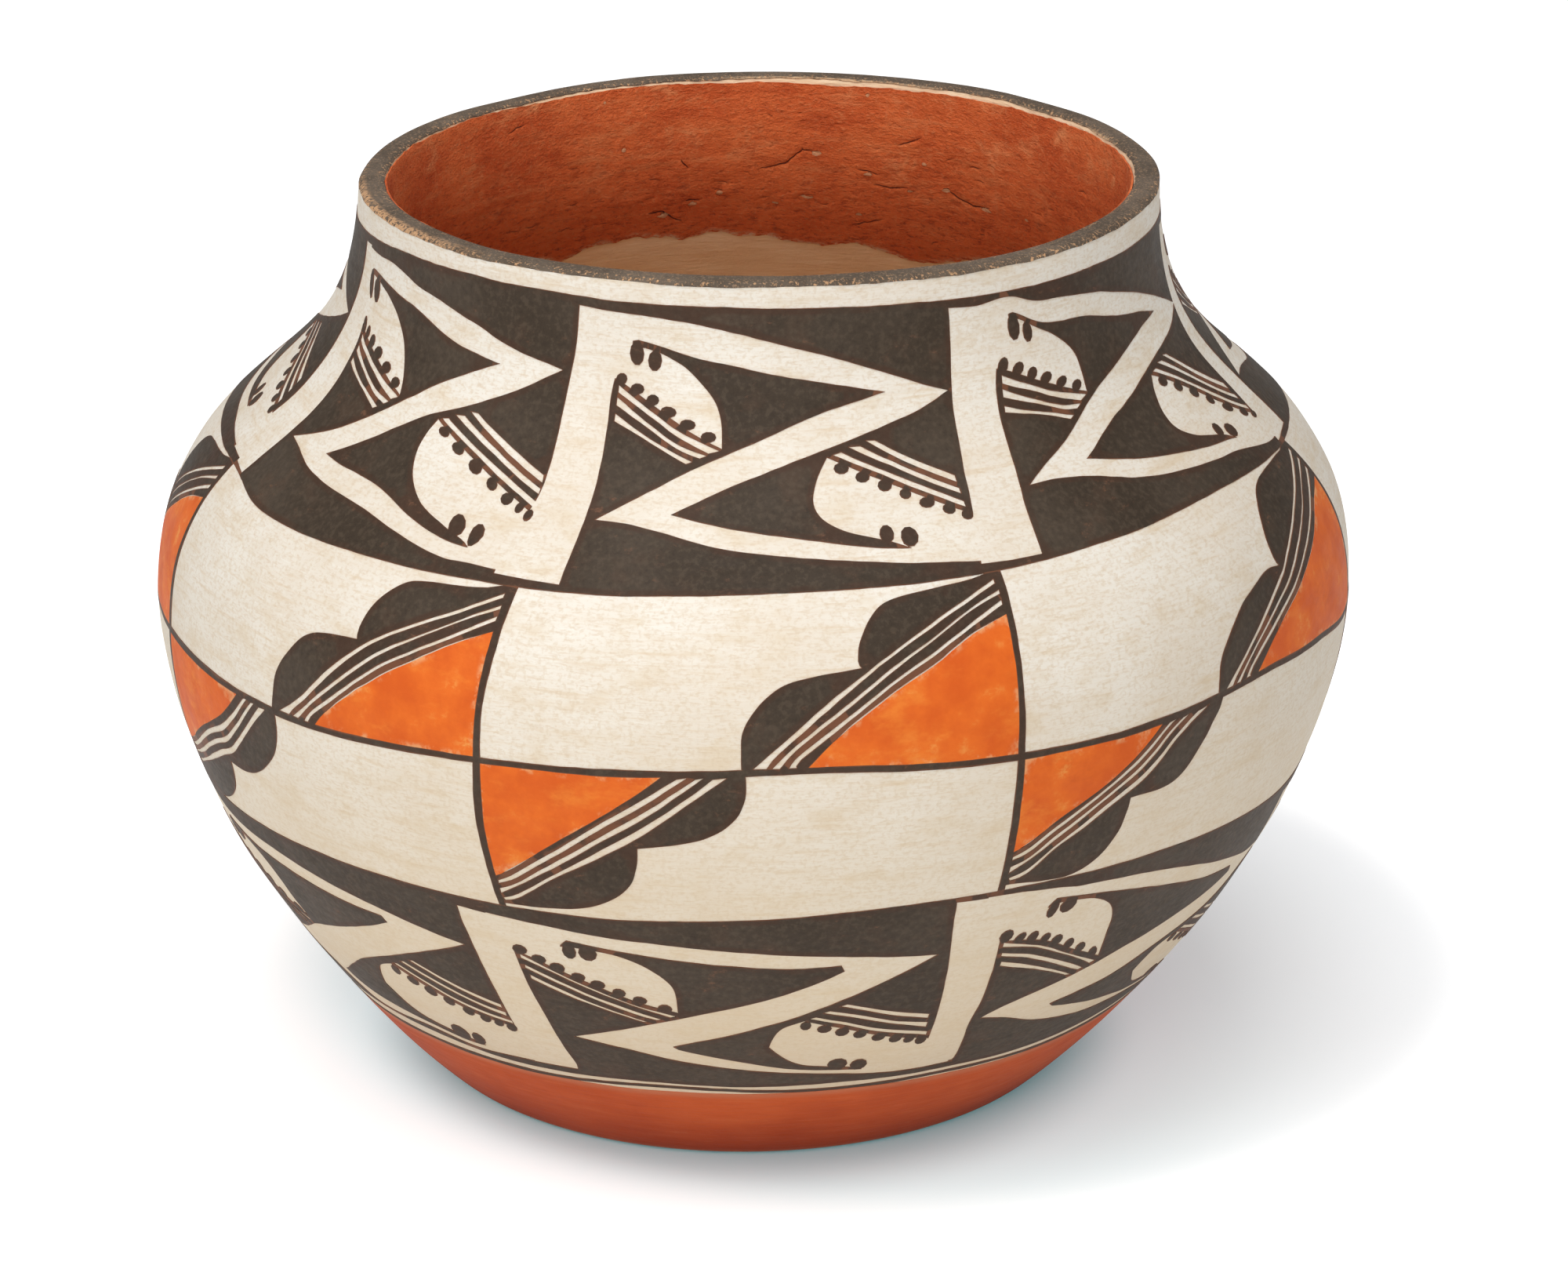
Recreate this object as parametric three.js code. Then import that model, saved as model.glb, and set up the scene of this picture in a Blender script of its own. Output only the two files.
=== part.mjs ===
// A coil-built pottery water jar (olla) with a hollowed base, a full belly and a wide mouth.
// The potter presses the base in a shallow mould, then adds ropes of clay ring by ring.
// Each rope is lapped on the inside edge of the one below, pinched and scraped to the wall's
// thickness, and the whole is slipped and fired.
// Millimetres, +Z up. The origin is the centre of the ring that the jar stands on.
import * as THREE from "three";

// Overall form, outside
const JAR_HEIGHT = 198;
const BELLY_RADIUS = 130;
const BELLY_HEIGHT = 108.5;
const RIM_RADIUS = 85.5;
const FOOT_RADIUS = 70;

// Fullness of the wall's curve: how far it runs on in one direction before it turns
const FOOT_FLARE_DEGREES = 41;
const FOOT_FLARE_RUN = 31;
const BELLY_RUN_BELOW = 41;
const BELLY_RUN_ABOVE = 49.5;
const NECK_RUN = 53;

// Clay
const WALL = 6;
const LIP_WALL = 5.6;
const LIP_THINNING_RUN = 14;
const LIP_EDGE_ROUNDING = 1.6;
const FLOOR = 7;

// Underside: the hollow that sits on the carrier's head, and the ring worn flat round it
const HOLLOW_RADIUS = 56;
const HOLLOW_DEPTH = 9;
const FOOT_ROUNDING = 3;
const FLOOR_BLEND_RUN = 16;
const FLOOR_BLEND_INSET = 8;

// Building in coils
const BASE_WALL = 30;
const ROPE_DIAMETER = 14;
const COIL_LAP = 5;

// Fineness of the faceted surface
const SEGMENTS = 64;
const STEPS_PER_COIL = 3;
const STEPS_PER_CURVE = 4;
const WALL_SAMPLES = 400;

const RED_SLIP = new THREE.MeshStandardMaterial({ color: 0xa8492a, roughness: 0.62, metalness: 0 });
const WHITE_SLIP = new THREE.MeshStandardMaterial({ color: 0xe3d8c4, roughness: 0.55, metalness: 0 });
const LIP_PAINT = new THREE.MeshStandardMaterial({ color: 0x3a2d26, roughness: 0.7, metalness: 0 });

// The outer wall as a curve of (radius, height), from the foot to the rim.
function outerWall() {
  const flare = THREE.MathUtils.degToRad(FOOT_FLARE_DEGREES);
  const wall = new THREE.CurvePath();
  wall.add(new THREE.CubicBezierCurve(
    new THREE.Vector2(FOOT_RADIUS, 0),
    new THREE.Vector2(FOOT_RADIUS + FOOT_FLARE_RUN * Math.cos(flare), FOOT_FLARE_RUN * Math.sin(flare)),
    new THREE.Vector2(BELLY_RADIUS, BELLY_HEIGHT - BELLY_RUN_BELOW),
    new THREE.Vector2(BELLY_RADIUS, BELLY_HEIGHT),
  ));
  wall.add(new THREE.CubicBezierCurve(
    new THREE.Vector2(BELLY_RADIUS, BELLY_HEIGHT),
    new THREE.Vector2(BELLY_RADIUS, BELLY_HEIGHT + BELLY_RUN_ABOVE),
    new THREE.Vector2(RIM_RADIUS, JAR_HEIGHT - NECK_RUN),
    new THREE.Vector2(RIM_RADIUS, JAR_HEIGHT),
  ));
  wall.curves.forEach((curve) => { curve.arcLengthDivisions = WALL_SAMPLES; });
  return wall;
}

const wall = outerWall();
const wallLength = wall.getLength();

// A point of the outer face, so far along the wall from the foot.
function outside(along) {
  return wall.getPointAt(THREE.MathUtils.clamp(along / wallLength, 0, 1));
}

// The wall thins to the lip over its last stretch.
function thickness(along) {
  const thinned = THREE.MathUtils.smoothstep(along, wallLength - LIP_THINNING_RUN, wallLength);
  return THREE.MathUtils.lerp(WALL, LIP_WALL, thinned);
}

// The point of the inner face behind that one, square to the wall.
function inside(along) {
  const tangent = wall.getTangentAt(THREE.MathUtils.clamp(along / wallLength, 0, 1));
  const inward = new THREE.Vector2(-tangent.y, tangent.x);
  return outside(along).addScaledVector(inward, thickness(along));
}

// Points of one face of the wall between two places along it.
function face(side, from, to, steps) {
  return Array.from({ length: steps + 1 }, (_, i) => side(THREE.MathUtils.lerp(from, to, i / steps)));
}

// The outline of a coil, from its lapped lower edge to its lapped upper edge.
// The lap slopes down inwards.
function coilOutline(from, to) {
  const half = COIL_LAP / 2;
  const outline = [
    ...face(outside, from + half, to + half, STEPS_PER_COIL),
    ...face(inside, to - half, from - half, STEPS_PER_COIL),
  ];
  return [...outline, outline[0]];
}

// The last coil ends in the lip: flat on top, with both edges rounded.
function lipOutline(from) {
  const half = COIL_LAP / 2;
  const rounded = LIP_EDGE_ROUNDING;
  const top = outside(wallLength).y;
  const outerEdge = outside(wallLength).x;
  const innerEdge = outerEdge - LIP_WALL;
  const corner = (x, y) => new THREE.Vector2(x, y);
  const outerCorner = new THREE.QuadraticBezierCurve(
    outside(wallLength - rounded), corner(outerEdge, top), corner(outerEdge - rounded, top));
  const innerCorner = new THREE.QuadraticBezierCurve(
    corner(innerEdge + rounded, top), corner(innerEdge, top), inside(wallLength - rounded));
  const outline = [
    ...face(outside, from + half, wallLength - rounded, STEPS_PER_COIL).slice(0, -1),
    ...outerCorner.getPoints(2),
    ...innerCorner.getPoints(2),
    ...face(inside, wallLength - rounded, from - half, STEPS_PER_COIL).slice(1),
  ];
  return [...outline, outline[0]];
}

// The hollow under the base is a shallow cap of a sphere: its height over the ground at a radius.
function hollowHeight(radius) {
  const sphere = (HOLLOW_RADIUS ** 2 + HOLLOW_DEPTH ** 2) / (2 * HOLLOW_DEPTH);
  return Math.sqrt(sphere ** 2 - radius ** 2) - (sphere - HOLLOW_DEPTH);
}

// The outline of the moulded base, from the middle of its underside round to the middle of its floor.
function baseOutline(to) {
  const half = COIL_LAP / 2;
  const cap = (radius, raised) => new THREE.Vector2(radius, hollowHeight(radius) + raised);
  const radii = (limit) => Array.from(
    { length: STEPS_PER_CURVE }, (_, i) => (limit * i) / (STEPS_PER_CURVE - 1));
  const foot = new THREE.QuadraticBezierCurve(
    new THREE.Vector2(FOOT_RADIUS - FOOT_ROUNDING, 0),
    new THREE.Vector2(FOOT_RADIUS, 0),
    outside(FOOT_ROUNDING),
  );
  const floorEdge = HOLLOW_RADIUS - FLOOR_BLEND_INSET;
  const floorBlend = new THREE.QuadraticBezierCurve(
    inside(FLOOR_BLEND_RUN),
    new THREE.Vector2(FOOT_RADIUS - FOOT_ROUNDING, FLOOR),
    cap(floorEdge, FLOOR),
  );
  return [
    ...radii(HOLLOW_RADIUS).map((radius) => cap(radius, 0)),
    ...foot.getPoints(2),
    ...face(outside, FOOT_ROUNDING, to + half, STEPS_PER_COIL).slice(1),
    ...face(inside, to - half, FLOOR_BLEND_RUN, 1).slice(0, -1),
    ...floorBlend.getPoints(STEPS_PER_CURVE).slice(0, -1),
    ...radii(floorEdge).reverse().map((radius) => cap(radius, FLOOR)),
  ];
}

// A piece turned about the jar's axis from its outline.
function turned(name, outline, material) {
  const geometry = new THREE.LatheGeometry(outline, SEGMENTS);
  geometry.rotateX(Math.PI / 2);
  const mesh = new THREE.Mesh(geometry, material);
  mesh.name = name;
  return mesh;
}

// A rope of clay keeps its volume when it is thinned to the wall, so its cross section sets
// how far it can reach at most, and the wall takes as many ropes as that needs.
const ropeReach = (Math.PI * (ROPE_DIAMETER / 2) ** 2) / WALL;
const coilCount = Math.ceil((wallLength - BASE_WALL) / ropeReach);
const coilReach = (wallLength - BASE_WALL) / coilCount;

const jar = new THREE.Group();
jar.add(turned("moulded_base", baseOutline(BASE_WALL), RED_SLIP));
for (let n = 1; n < coilCount; n += 1) {
  const from = BASE_WALL + (n - 1) * coilReach;
  jar.add(turned(`wall_coil_${n}`, coilOutline(from, from + coilReach), WHITE_SLIP));
}
jar.add(turned("lip_coil", lipOutline(wallLength - coilReach), LIP_PAINT));

export default jar;
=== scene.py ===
import math
import random
from bisect import bisect_right

import bpy
import numpy
from mathutils import Matrix, Vector, noise
from mathutils.geometry import delaunay_2d_cdt, interpolate_bezier
from mathutils.kdtree import KDTree


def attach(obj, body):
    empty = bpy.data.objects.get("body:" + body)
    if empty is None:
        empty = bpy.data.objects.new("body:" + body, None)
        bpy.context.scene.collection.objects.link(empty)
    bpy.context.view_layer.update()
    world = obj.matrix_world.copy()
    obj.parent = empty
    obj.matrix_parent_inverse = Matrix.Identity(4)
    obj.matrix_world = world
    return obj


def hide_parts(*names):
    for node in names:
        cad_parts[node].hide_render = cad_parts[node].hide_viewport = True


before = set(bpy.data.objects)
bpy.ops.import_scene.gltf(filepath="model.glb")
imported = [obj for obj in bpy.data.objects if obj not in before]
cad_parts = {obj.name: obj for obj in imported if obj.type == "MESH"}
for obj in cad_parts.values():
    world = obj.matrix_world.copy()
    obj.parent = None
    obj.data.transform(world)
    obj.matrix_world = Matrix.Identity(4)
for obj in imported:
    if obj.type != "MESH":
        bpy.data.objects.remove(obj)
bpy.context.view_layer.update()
bpy.ops.object.select_all(action="DESELECT")

# The moulded base: a pancake of tempered clay pressed into a shallow mould, which leaves a hollow under it,
# then drawn up by hand into the first 30 mm of wall. Fired earthenware, bare and tan inside, with a little
# red slip wiped over the underside and a worn ring where it stands. Lengths are in mm.
MM = 0.001
JAR_HEIGHT = 198
BELLY_RADIUS = 130
BELLY_HEIGHT = 108.5
RIM_RADIUS = 85.5
FOOT_RADIUS = 70
FOOT_FLARE = math.radians(41)
FOOT_FLARE_RUN = 31
BELLY_RUN_BELOW = 41
BELLY_RUN_ABOVE = 49.5
NECK_RUN = 53
WALL = 6
LIP_WALL = 5.6
LIP_THINNING_RUN = 14
LIP_ROUNDING = 1.6
HOLLOW_RADIUS = 56
HOLLOW_DEPTH = 9
FOOT_ROUNDING = 3
FLOOR = 7
FLOOR_BLEND_RUN = 16
FLOOR_BLEND_INSET = 8
BASE_WALL = 30
COIL_LAP = 5
COLUMNS = 288
ROW = 1.5
LEAN = 0.0186
OVAL = 0.45
THREE_SIDED = 0.25
DENTS = 0.55
SMALL_DENTS = 0.22
CRISP_EDGE = math.radians(35)


def curve_of(start, leaving, arriving, end, steps=400):
    """Points along one stretch of a drawn curve between two places, each with its handle."""
    places = (Vector((*place, 0)) for place in (start, leaving, arriving, end))
    return [point.to_2d() for point in interpolate_bezier(*places, steps)]


def lengths_along(points):
    """How far along a line each of its points lies."""
    lengths = [0.0]
    for here, there in zip(points, points[1:]):
        lengths.append(lengths[-1] + (there - here).length)
    return lengths


wall = curve_of(
    (FOOT_RADIUS, 0),
    (FOOT_RADIUS + FOOT_FLARE_RUN * math.cos(FOOT_FLARE), FOOT_FLARE_RUN * math.sin(FOOT_FLARE)),
    (BELLY_RADIUS, BELLY_HEIGHT - BELLY_RUN_BELOW),
    (BELLY_RADIUS, BELLY_HEIGHT),
) + curve_of(
    (BELLY_RADIUS, BELLY_HEIGHT),
    (BELLY_RADIUS, BELLY_HEIGHT + BELLY_RUN_ABOVE),
    (RIM_RADIUS, JAR_HEIGHT - NECK_RUN),
    (RIM_RADIUS, JAR_HEIGHT),
)[1:]
wall_run = lengths_along(wall)
WALL_LENGTH = wall_run[-1]


def place_along(line, run, along):
    """The place on a line so many mm along it."""
    i = min(max(bisect_right(run, along) - 1, 0), len(line) - 2)
    return line[i].lerp(line[i + 1], (along - run[i]) / (run[i + 1] - run[i]))


def outside(along):
    """The place on the outer face, as radius and height in mm, so many mm up the wall from the foot."""
    return place_along(wall, wall_run, along)


def inside(along):
    """The place on the inner face behind that one, square to the wall, which thins to the lip."""
    run = (outside(along + 0.3) - outside(along - 0.3)).normalized()
    near_lip = min(max((along - WALL_LENGTH + LIP_THINNING_RUN) / LIP_THINNING_RUN, 0), 1)
    thickness = WALL + (LIP_WALL - WALL) * near_lip * near_lip * (3 - 2 * near_lip)
    return outside(along) + Vector((-run.y, run.x)) * thickness


def face_of(side, start, end, row=ROW):
    """Places along one face of the wall, about a row apart."""
    steps = max(1, round(abs(end - start) / row))
    return [side(start + (end - start) * i / steps) for i in range(steps + 1)]


def by_hand(radius, height, turn):
    """The place in metres of a point of the turned jar as the hands left it: leaning a little to the
    right, not quite round, softly dented, and with a lip that isn't quite level."""
    angle = math.radians(turn)
    spot = Vector((radius * math.sin(angle), -radius * math.cos(angle), height))
    pressed = OVAL * math.sin(2 * angle + 0.7 + height / 80) + THREE_SIDED * math.sin(3 * angle + 2.1)
    pressed += DENTS * noise.noise(spot / 42) + SMALL_DENTS * noise.noise(spot / 17 + Vector((9, 4, 2)))
    pressed *= min(1, height / 30) * min(1, radius / 60)
    near_lip = max(0, (height - 150) / 48)
    sunk = near_lip * near_lip * (0.45 * math.sin(2 * angle + 2.6) + 0.5 * noise.noise(spot / 30))
    grown = (radius + pressed) / max(radius, 0.001)
    lean = LEAN * (height - BELLY_HEIGHT)
    return Vector((spot.x * grown + lean, spot.y * grown, height + min(sunk, 0.3))) * MM


def turn_clay(name, outline):
    """One closed piece of clay, turned about the jar's axis from its outline and worked by hand."""
    bpy.ops.mesh.primitive_circle_add(vertices=len(outline), radius=0.01)
    piece = bpy.context.object
    piece.name = piece.data.name = name
    for vertex, place in zip(piece.data.vertices, outline):
        vertex.co = (place.x * MM, 0, place.y * MM)
    bpy.ops.object.mode_set(mode="EDIT")
    bpy.ops.mesh.select_all(action="SELECT")
    bpy.ops.mesh.spin(steps=COLUMNS, angle=math.tau, center=(0, 0, 0), axis=(0, 0, 1))
    bpy.ops.mesh.select_all(action="SELECT")
    bpy.ops.mesh.remove_doubles(threshold=0.00001)
    bpy.ops.mesh.delete_loose(use_verts=True, use_edges=True, use_faces=False)
    bpy.ops.mesh.select_all(action="SELECT")
    bpy.ops.mesh.normals_make_consistent(inside=False)
    bpy.ops.object.mode_set(mode="OBJECT")
    for vertex in piece.data.vertices:
        x, y, z = (part / MM for part in vertex.co)
        vertex.co = by_hand(math.hypot(x, y), z, math.degrees(math.atan2(x, -y)))
    return finish_piece(piece)


def finish_piece(piece):
    """Smooths a piece's faces, keeps its edges crisp, and puts its place into its mesh."""
    bpy.ops.object.select_all(action="DESELECT")
    piece.select_set(True)
    bpy.context.view_layer.objects.active = piece
    bpy.ops.object.transform_apply(location=True, rotation=True, scale=True)
    bpy.ops.object.shade_smooth_by_angle(angle=CRISP_EDGE)
    piece.select_set(False)
    return piece


class Socket:
    """One output of a material's node. Sums on it add Math nodes, and node() adds any other kind."""

    def __init__(self, tree, output=None):
        self.tree = tree
        self.output = output

    def node(self, kind, inputs=None, output=0, **settings):
        made = self.tree.nodes.new("ShaderNode" + kind)
        for name, value in settings.items():
            setattr(made, name, value)
        for name, value in (inputs or {}).items():
            if isinstance(value, Socket):
                self.tree.links.new(value.output, made.inputs[name])
            else:
                made.inputs[name].default_value = value
        return Socket(self.tree, made.outputs[output])

    def sum_of(self, operation, first, second, **settings):
        return self.node("Math", {0: first, 1: second}, operation=operation, **settings)

    def __add__(self, other):
        return self.sum_of("ADD", self, other)

    __radd__ = __add__

    def __sub__(self, other):
        return self.sum_of("SUBTRACT", self, other)

    def __rsub__(self, other):
        return self.sum_of("SUBTRACT", other, self)

    def __mul__(self, other):
        return self.sum_of("MULTIPLY", self, other)

    __rmul__ = __mul__

    def clamped(self):
        return self.sum_of("ADD", self, 0.0, use_clamp=True)

    def between(self, low, high):
        """0 where the value is below low, 1 above high, and a smooth step between them."""
        return self.node(
            "MapRange", {0: self, 1: low, 2: high, 3: 0.0, 4: 1.0}, interpolation_type="SMOOTHSTEP"
        )

    def stretched(self, x, y, z):
        return self.node("VectorMath", {0: self, 1: (x, y, z)}, operation="MULTIPLY")

    def moved(self, x, y, z):
        return self.node("VectorMath", {0: self, 1: (x, y, z)}, operation="ADD")

    def part(self, axis):
        return self.node("SeparateXYZ", {0: self}, output=axis)

    def attribute(self, name):
        return self.node("Attribute", output="Fac", attribute_name=name)

    def away_from(self, x, y):
        """How many mm each place lies from the upright line through x and y."""
        level_place = self.moved(-x, -y, 0).stretched(1, 1, 0)
        return level_place.node("VectorMath", {0: level_place}, output="Value", operation="LENGTH")

    def grain(self, size, detail=3.0, rough=0.55, shift=0.0, swirl=0.0):
        """Cloudy noise with patches about so many mm across, from 0 to 1."""
        inputs = {"Scale": 1 / size, "Detail": detail, "Roughness": rough, "Distortion": swirl}
        return self.node("TexNoise", {"Vector": self.moved(shift, shift * 0.7, -shift), **inputs})

    def specks(self, size, share, shift=0.0):
        """Small round specks about so many mm apart, of which only a share of the cells holds one."""
        cells = {"Vector": self.moved(shift, shift, shift), "Scale": 1 / size, "Randomness": 1.0}
        near = self.node("TexVoronoi", cells, output="Distance")
        pick = self.node("TexVoronoi", cells, output="Color").node("SeparateColor")
        return (1 - near.between(0.12, 0.3)) * (1 - pick.between(share - 0.01, share + 0.01))


def tone(red, green, blue):
    """A colour from its everyday 0 to 255 values, as the shaders take it."""
    parts = [part / 255 for part in (red, green, blue)]
    return (*(p / 12.92 if p < 0.04045 else ((p + 0.055) / 1.055) ** 2.4 for p in parts), 1)


def mix(share, first, second):
    """One colour laid over another, as much as the share says."""
    return share.node("Mix", {0: share, 6: first, 7: second}, output=2, data_type="RGBA")


def layered(colour, *layers):
    """A colour with others laid over it in turn, each given by its share and its everyday values."""
    for share, *values in layers:
        colour = mix(share, colour, tone(*values))
    return colour


def new_finish(name):
    """A new material and the place on the jar in mm, which its patterns follow."""
    material = bpy.data.materials.new(name)
    material.use_nodes = True
    start = Socket(material.node_tree)
    place = start.node("TexCoord", output="Object")
    return material, place.node("VectorMath", {0: place, "Scale": 1 / MM}, operation="SCALE")


def set_finish(material, colour, roughness, relief, depth, shine=0.3):
    """Gives the shader its colour and roughness, and the fine relief of its surface, so many mm deep."""
    shader = material.node_tree.nodes["Principled BSDF"]
    shader.inputs["Specular IOR Level"].default_value = shine
    bump = relief.node("Bump", {"Height": relief, "Strength": 1.0, "Distance": depth * MM})
    for name, value in (("Base Color", colour), ("Roughness", roughness), ("Normal", bump)):
        material.node_tree.links.new(value.output, shader.inputs[name])


def clay_colour(mm):
    """Bare fired clay: tan and cloudy, with scraping streaks round the jar and dark and pale temper."""
    streaks = mm.stretched(1, 1, 9).grain(14, 4, 0.6, 3)
    return layered(
        tone(236, 202, 164),
        (mm.grain(26, 3, 0.5, 11).between(0.3, 0.75), 244, 216, 182),
        (streaks.between(0.45, 0.8) * 0.5, 246, 224, 194),
        (streaks.between(0.6, 0.3) * 0.35, 222, 184, 146),
        (mm.specks(3.2, 0.22, 5) * 0.5, 164, 128, 98),
        (mm.specks(2.6, 0.16, 17) * 0.5, 238, 220, 196),
    )


clay_finish, mm = new_finish("bare_clay")
scrapes = mm.stretched(1, 1, 6).grain(5, 4, 0.6, 7)
set_finish(clay_finish, clay_colour(mm), 0.78 + scrapes * 0.15, scrapes + mm.grain(1.2) * 0.5, 0.5)

base_finish, mm = new_finish("base_clay")
across = mm.away_from(0, 0)
wiped = mm.stretched(1, 0.22, 1).grain(7, 4, 0.6, 4, 0.8)
underside = across.node("MapRange", {0: across, 1: 0.0, 2: HOLLOW_RADIUS, 3: 12.0, 4: 3.5})
under = 1 - (mm.part("Z") - underside).between(-0.5, 0.5)
ring = across.between(55, 58) * (1 - across.between(66.5, 69))
worn_ring = ring * (wiped.between(0.3, 0.5) * 0.5 + 0.5)
colour = layered(
    clay_colour(mm),
    (under * (wiped.between(0.32, 0.62) * 0.5 + 0.4) * (1 - worn_ring), 160, 78, 48),
    (under * worn_ring * mm.grain(4, 3, 0.6, 8).between(0.45, 0.7) * 0.6, 112, 92, 76),
)
scrapes = mm.stretched(1, 1, 6).grain(5, 4, 0.6, 7)
set_finish(base_finish, colour, 0.75 + scrapes * 0.18, scrapes + mm.grain(1.2) * 0.5, 0.5)


def cap(radius, raised):
    """A place on the hollow's shallow dome, or on the floor over it."""
    sphere = (HOLLOW_RADIUS**2 + HOLLOW_DEPTH**2) / (2 * HOLLOW_DEPTH)
    return Vector((radius, math.sqrt(sphere**2 - radius**2) - (sphere - HOLLOW_DEPTH) + raised))


def bent(start, corner, end, steps=5):
    """A soft corner: a curve that leaves for the corner and arrives from it."""
    return curve_of(start, start.lerp(corner, 2 / 3), end.lerp(corner, 2 / 3), end, steps + 1)


foot_edge = Vector((FOOT_RADIUS - FOOT_ROUNDING, 0))
foot_rounding = bent(foot_edge, Vector((FOOT_RADIUS, 0)), outside(FOOT_ROUNDING))
floor_edge = HOLLOW_RADIUS - FLOOR_BLEND_INSET
floor_blend = bent(inside(FLOOR_BLEND_RUN), Vector((foot_edge.x, FLOOR)), cap(floor_edge, FLOOR), 10)
half_lap = COIL_LAP / 2
base = turn_clay(
    "moulded_base_clay",
    [cap(HOLLOW_RADIUS * i / 12, 0) for i in range(13)]
    + foot_rounding
    + face_of(outside, FOOT_ROUNDING, BASE_WALL + half_lap)[1:]
    + face_of(inside, BASE_WALL - half_lap, FLOOR_BLEND_RUN)[:-1]
    + floor_blend[:-1]
    + [cap(floor_edge * i / 10, FLOOR) for i in range(10, -1, -1)],
)
base.data.materials.append(base_finish)
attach(base, "root")
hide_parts("moulded_base")

# The seven wall coils: ropes of the same clay, each lapped on the inside edge of the one below, pinched up,
# and scraped to a wall of 6 mm. The jar's belly, shoulder and neck are all made of them.
WALL_COILS = 7
COIL_REACH = (WALL_LENGTH - BASE_WALL) / (WALL_COILS + 1)
for number in range(1, WALL_COILS + 1):
    bottom = BASE_WALL + (number - 1) * COIL_REACH
    top = bottom + COIL_REACH
    coil = turn_clay(
        f"wall_coil_{number}_clay",
        face_of(outside, bottom + half_lap, top + half_lap)
        + face_of(inside, top - half_lap, bottom - half_lap),
    )
    coil.data.materials.append(clay_finish)
    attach(coil, "root")
    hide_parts(f"wall_coil_{number}")

# The lip coil: the last rope, thinned a little and finished with a flat top and rounded edges by a
# wet strip of leather drawn round it.
outer_lip = bent(
    outside(WALL_LENGTH - LIP_ROUNDING),
    Vector((RIM_RADIUS, JAR_HEIGHT)),
    Vector((RIM_RADIUS - LIP_ROUNDING, JAR_HEIGHT)),
)
inner_lip = bent(
    Vector((RIM_RADIUS - LIP_WALL + LIP_ROUNDING, JAR_HEIGHT)),
    Vector((RIM_RADIUS - LIP_WALL, JAR_HEIGHT)),
    inside(WALL_LENGTH - LIP_ROUNDING),
)
lip_start = WALL_LENGTH - COIL_REACH
lip = turn_clay(
    "lip_coil_clay",
    face_of(outside, lip_start + half_lap, WALL_LENGTH - LIP_ROUNDING)[:-1]
    + outer_lip
    + inner_lip
    + face_of(inside, WALL_LENGTH - LIP_ROUNDING, lip_start - half_lap)[1:],
)
lip.data.materials.append(clay_finish)
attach(lip, "root")
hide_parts("lip_coil")

# The white slip: cream clay wiped on in thin coats from the foot's red band to the lip, then rubbed with a
# smooth stone. It hides the joints of the coils, and its brush marks and polishing strokes run round the jar.
skin = (
    foot_rounding[:-1]
    + face_of(outside, FOOT_ROUNDING, WALL_LENGTH - LIP_ROUNDING, 0.5)[:-1]
    + outer_lip
    + inner_lip[:-1]
    + face_of(inside, WALL_LENGTH - LIP_ROUNDING, FLOOR_BLEND_RUN, 0.5)
)
skin_run = lengths_along(skin)
SKIN_START = FOOT_ROUNDING - skin_run[len(foot_rounding) - 1]
skin_run = [SKIN_START + run for run in skin_run]


def skin_place(along, raised):
    """Radius and height in mm, so far along the skin from the foot, over the lip and down inside."""
    before, spot, after = (place_along(skin, skin_run, along + step) for step in (-0.4, 0, 0.4))
    run = (after - before).normalized()
    return spot + Vector((run.y, -run.x)) * raised


def on_skin(turn, along, raised):
    """A place in metres on the jar as made, some mm out of its skin."""
    place = skin_place(along, raised)
    return by_hand(place.x, place.y, turn)


def waver(turn, along, size, seed=0.0):
    """A slow unsteadiness of the hand, the same wherever two strokes meet, from -1 to 1."""
    angle = math.radians(turn)
    return noise.noise(Vector((100 * math.sin(angle), 100 * math.cos(angle), along + seed * 31)) / size)


def thicken(piece, thickness):
    """Gives a sheet its thickness in mm, inwards, and closes it."""
    solid = piece.modifiers.new("thickness", "SOLIDIFY")
    solid.thickness = thickness * MM
    solid.offset = -1
    bpy.context.view_layer.objects.active = piece
    bpy.ops.object.modifier_apply(modifier=solid.name)
    return finish_piece(piece)


SEAM_GAP = 0.000002


def lay_coat(name, low, high, rows, columns, raised, thickness):
    """A thin coat laid right round the jar between two edges, each given by the turn. Its edge attribute
    says how many mm each place lies in from the nearer edge."""
    bpy.ops.mesh.primitive_grid_add(x_subdivisions=columns, y_subdivisions=rows, size=1)
    coat = bpy.context.object
    coat.name = coat.data.name = name
    edge = coat.data.attributes.new("edge", "FLOAT", "POINT")
    for i, vertex in enumerate(coat.data.vertices):
        turn = (vertex.co.x + 0.5) * 360 - 180
        bottom, top = low(turn), high(turn)
        along = bottom + (top - bottom) * (vertex.co.y + 0.5)
        edge.data[i].value = min(along - bottom, top - along)
        vertex.co = on_skin(turn, along, raised)
    bpy.ops.object.mode_set(mode="EDIT")
    bpy.ops.mesh.select_all(action="SELECT")
    bpy.ops.mesh.remove_doubles(threshold=SEAM_GAP)
    bpy.ops.object.mode_set(mode="OBJECT")
    return thicken(coat, thickness)


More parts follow.
